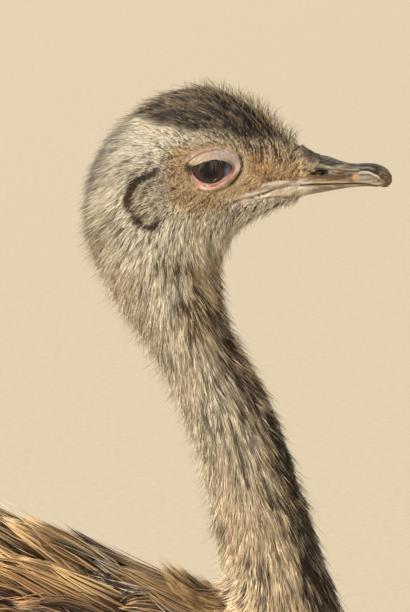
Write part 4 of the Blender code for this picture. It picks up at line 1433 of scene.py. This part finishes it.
def makeEyeball(side, sign, material):
    e = eyeLook
    bm = bmesh.new()
    bmesh.ops.create_uvsphere(bm, u_segments=72, v_segments=48, radius=e["radius"] * mm)
    bmesh.ops.translate(bm, verts=bm.verts, vec=Vector(toFrame((0, sign * e["out"], 0))))
    ball = giveMesh("eyeball_" + side, bm, material)
    x, y, z = places(ball).T
    away = np.hypot(x - e["axis"][0], z - e["axis"][1])
    away = np.where(np.sign(y - sign * e["out"]) == sign, away, e["reach"])
    layer = ball.data.attributes.new("fromAxis", "FLOAT", "POINT")
    layer.data.foreach_set("value", (away / e["reach"]).astype(np.float32))
    wear(ball, "eye", "eye_" + side)


def makeLids(side, sign, material, tree):
    angle = np.arange(180) * 2 * math.pi / 180
    inner, outer = aroundLoop(lidMargin, angle), aroundLoop(lidOuter, angle)
    margin = onBall(*inner.T, 0.35)
    head = []
    for x, z in outer:
        hit = tree.ray_cast(Vector(toFrame((x, sign * 60.0, z))), Vector((0, -sign, 0)))[0]
        head.append(sign * (hit[1] - eyeMiddle[1]) / mm if hit else 22.0)
    head = np.array(head)
    rows = []
    for k, share in enumerate((0.0, 0.012, 0.035, 0.07, *np.linspace(0.11, 1.0, 26))):
        x, z = (inner + (outer - inner) * share).T
        blend = ease(share, 0.0, 1.0)
        y = margin * (1 - blend) + (head + 0.1) * blend + 1.3 * math.sin(math.pi * share) ** 0.8
        y = np.maximum(y, np.where(np.hypot(x, z) < eyeLook["radius"] - 0.5, onBall(x, z, 0.7), 0))
        y = y + (0.0, 0.35, 0.55, 0.62)[min(k, 3)] * (share < 0.12)
        for line, deep, wide in lidGrooves:
            y = y - deep * bell(nearLine(x, z, line), wide)
        y = y - 0.16 * np.sin(share * 34 + 2 * np.sin(angle * 3)) * (0.2 < share < 0.9)
        rows.append(np.stack((x, sign * y, z), -1))
    for share in (0.97, 0.66, 0.33, 0.02):
        x, z = (inner + (outer - inner) * share).T
        rows.append(np.stack((x, sign * (np.minimum(margin, head) - 2.2), z), -1))
    lid = giveMesh("lids_" + side, gridOf(np.array(rows), closedAlong=True), material)
    x, _, z = places(lid).T
    fromMiddle = np.stack((x, z), -1) - lidMiddle
    turn = np.arctan2(*fromMiddle.T[::-1])
    loops = [aroundLoop(loop, turn) - lidMiddle for loop in (lidMargin, lidOuter)]
    near, far, reach = (np.hypot(*part.T) for part in (*loops, fromMiddle))
    paint(lid, lidColor(x, z, np.clip((reach - near) / (far - near), 0, 1)))
    wear(lid, "head_plumage")


def makeEyes(skin):
    print("eyes")
    iris, lids = irisMaterial(), lidMaterial()
    tree = BVHTree.FromObject(skin, bpy.context.evaluated_depsgraph_get())
    for side, sign in sideSign.items():
        makeEyeball(side, sign, iris)
        makeLids(side, sign, lids, tree)
        makeLashes(side, sign)


def makeLashes(side, sign):
    s = {"seed": 8, "count": 190, "wide": 0.095, "long": 8.2, "corner": 34}
    rng = np.random.default_rng(s["seed"])
    x = np.sort(rng.uniform(-10.8, 10.6, s["count"]))
    z = lineAt(lidMargin[:8][::-1], x) + rng.uniform(0.0, 0.7, s["count"])
    length = s["long"] * rng.uniform(0.5, 1.15, s["count"]) * (0.7 + 0.3 * np.cos(x / 8))
    y = onBall(x, z, 0.7)
    # small dark hairs at the back corner
    x = np.concatenate((x, -13.3 + rng.normal(0, 1.0, s["corner"])))
    z = np.concatenate((z, 3.6 + rng.normal(0, 1.3, s["corner"])))
    y = np.concatenate((y, np.full(s["corner"], onBall(-11.2, 2.8, 2.6))))
    length = np.concatenate((length, rng.uniform(1.4, 3.2, s["corner"])))
    count = len(x)
    atCorner = np.arange(count) >= s["count"]
    t = np.linspace(0, 1, 5)
    lean = rng.normal(-0.06, 0.2, count) + 0.012 * x - atCorner * rng.uniform(-0.6, 1.0, count)
    out = y[:, None] - 0.3 + length[:, None] * (0.62 * t - 0.28 * t**2)
    down = z[:, None] - length[:, None] * (0.25 * t + 0.65 * t**2)
    points = np.stack((x[:, None] + lean[:, None] * length[:, None] * t, sign * out, down), -1)
    widths = np.tile(s["wide"] * np.array((1, 1, 0.8, 0.6, 0)), (count, 1))
    # about a quarter of the lashes pale brown: painted glints of light on the dark lashes
    pale = (rng.random(count) < 0.28)[:, None]
    color = np.where(pale, rgb(128, 106, 76), rgb(14, 11, 10)) * rng.uniform(0.7, 1.4, count)[:, None]
    uv = np.stack(((x + 11) / 22, rng.random(count)), -1)
    hairPiece("lashes_" + side, points, sign, widths, 0.9, color, uv, featherMaterial())


def joinedPlates(name, blocks, material, color, slot, *nodes):
    whole = bmesh.new()
    for block in blocks:
        part = gridOf(block)
        mesh = bpy.data.meshes.new("part")
        part.to_mesh(mesh)
        part.free()
        whole.from_mesh(mesh)
        bpy.data.meshes.remove(mesh)
    obj = giveMesh(name, whole, material)
    spots = places(obj)
    shade = 0.75 + 0.5 * noise(spots, 12, 51)
    paint(obj, mixed(*color, ease(noise(spots, 30, 52), 0.3, 0.7)) * shade[:, None])
    return wear(obj, slot, *nodes)


def plate(surface, s):
    # a closed curved plate, domed across j and rising along t outside, and at an even depth inside
    j = np.linspace(0, 1, s["across"])
    rows = []
    for t in np.linspace(0, 1, s["steps"]):
        lift = s["edge"] + (s["root"] + s["gain"] * t**0.7) * np.sin(math.pi * j) ** 0.4
        rows.append(np.concatenate((surface(t, j, lift), surface(t, j[::-1], s["under"] + 0 * j))))
    return np.array(rows)


shankScutes = {
    "count": 27, "from": 3.6, "over": 5.2, "lap": 1.22, "edge": -0.9, "root": 0.15, "gain": 0.75,
    "under": -1.6, "steps": 5, "across": 11,
}
toeScutes = {
    "perJoint": 5, "from": 0.1, "over": 0.84, "lap": 1.2, "edge": 0.0, "root": 0.05, "gain": 0.6,
    "under": -0.7, "steps": 4, "across": 8,
}


def scuteEnds(s, i, count):
    # where one of a row of overlapping scutes begins and ends
    return s["from"] + s["over"] * i / count, s["from"] + s["over"] * (i + s["lap"]) / count


def makeScutes():
    print("scutes")
    material = hornMaterial("scuteHorn", 0.42, 0.6, 3.0)
    for side in ("R", "L"):
        blocks = []

        def shankAt(t, j, lift):
            u = np.full_like(j, low + (high - low) * t)
            return legPoint(shankLine, side, u, -0.19 + 0.38 * j, lift)

        def toeAt(t, j, lift):
            along = low + (high - low) * t
            half, tall = toeHalves(name, along)
            a = (j - 0.5) * 2.1
            point = start + way * (length * along) + across * ((half + lift) * np.sin(a))[:, None]
            point[:, 2] += tall * (1 - foot["sink"]) + (tall + lift) * np.cos(a)
            return point

        for i in range(shankScutes["count"]):
            low, high = scuteEnds(shankScutes, i, shankScutes["count"])
            blocks.append(plate(shankAt, shankScutes))
        for name in toeSizes:
            start, way, across = toeFrame(side, name)
            length, count = toeSizes[name][1], toeScutes["perJoint"] * toeSizes[name][4]
            for i in range(count):
                low, high = scuteEnds(toeScutes, i, count)
                blocks.append(plate(toeAt, toeScutes))
        joinedPlates("scutes_" + side, blocks, material, (tones["legSkin"] * 1.15, "legDark"), "leg_skin")


def makeClaws():
    print("claws")
    material = hornMaterial("clawHorn", 0.3, 0.5, 2.0)
    color = (rgb(58, 48, 42), rgb(34, 28, 25))
    for side in ("R", "L"):
        for name in toeSizes:
            start, way, across = toeFrame(side, name)
            t, turn = rings(np.linspace(0, 1, 30), 24)
            size = 6.1 * np.sqrt(np.maximum(1 - t**1.6, 0)) + 0.6
            c, s = circle(turn)
            reach = toeSizes[name][1] - 7 + 26.8 * t
            points = start + way * reach[..., None] + across * (0.72 * size * s)[..., None]
            points[..., 2] += np.maximum(8.4 - 4.6 * t**2 + size * c * np.where(c > 0, 1.0, 0.85), 0.45)
            claw = f"claw_{name}_{side}"
            joinedPlates(claw + "_horn", [points], material, color, "claw_horn", claw)


view = {
    "elevation": 12.0, "distance": 2.4, "height": 0.355,  # height is what the view spans at the head
    "nearEye": -24.0, "right": 3.5, "up": 78.0,  # where the near eye shows from the middle of the view
}
lamps = {  # where each shines from, how many degrees wide, power, colour
    "key": ((-6.4, -5.8, 4.5), 9, 4.05, (1.0, 0.94, 0.84)),
    "fill": ((2.9, -7.2, 0.9), 44, 1.15, (1.0, 0.96, 0.9)),
    "back": ((-3.4, 6.0, 4.7), 23, 1.62, (1.0, 0.93, 0.82)),
}


def makeStage():
    tip = math.radians(view["elevation"])
    look = np.array((0.0, math.cos(tip), -math.sin(tip)))
    up = np.array((0.0, math.sin(tip), math.cos(tip)))
    eye = toFrame((0.0, view["nearEye"], 0.0))
    aim = eye - np.array((view["right"] * mm, 0, 0)) - up * view["up"] * mm
    data = bpy.data.cameras.new("camera")
    data.sensor_width = 36.0
    data.lens = 36.0 * view["distance"] / view["height"]
    data.clip_end = 60.0
    camera = newObject("camera", data)
    camera.location = aim - look * view["distance"]
    camera.rotation_euler = (math.pi / 2 - tip, 0.0, 0.0)
    bpy.context.scene.camera = camera

    bm = bmesh.new()
    bmesh.ops.create_grid(bm, x_segments=4, y_segments=4, size=30.0)
    material, tree, shader = newMaterial("paleFloor")
    stops = ((0.3, (197, 183, 158)), (0.7, (204, 190, 166)))
    feed(tree, shader, {"Base Color": rampOf(tree, grainOf(tree, 12, 3.0), stops), "Roughness": 0.9})
    floor = giveMesh("floor", bm, material)

    for name, (place, wide, power, color) in lamps.items():
        lamp = bpy.data.lights.new(name, "SUN")
        lamp.angle = math.radians(wide)
        lamp.energy = power
        lamp.color = color
        obj = newObject(name, lamp)
        obj.location = Vector(place)
        obj.visible_glossy = name != "fill"
        target = Vector(toFrame((-60, 0, -150)))
        obj.rotation_euler = (target - obj.location).to_track_quat("-Z", "Y").to_euler()
    world = bpy.data.worlds.new("studio")
    world.use_nodes = True
    world.node_tree.nodes["Background"].inputs["Color"].default_value = (1.0, 0.97, 0.92, 1.0)
    world.node_tree.nodes["Background"].inputs["Strength"].default_value = 0.55
    bpy.context.scene.world = world
    bpy.context.scene.view_settings.view_transform = "Standard"


skin = makeSkin()
makeBill()
makeEyes(skin)
makeScutes()
makeClaws()
makeCoat(skin)
makeStage()
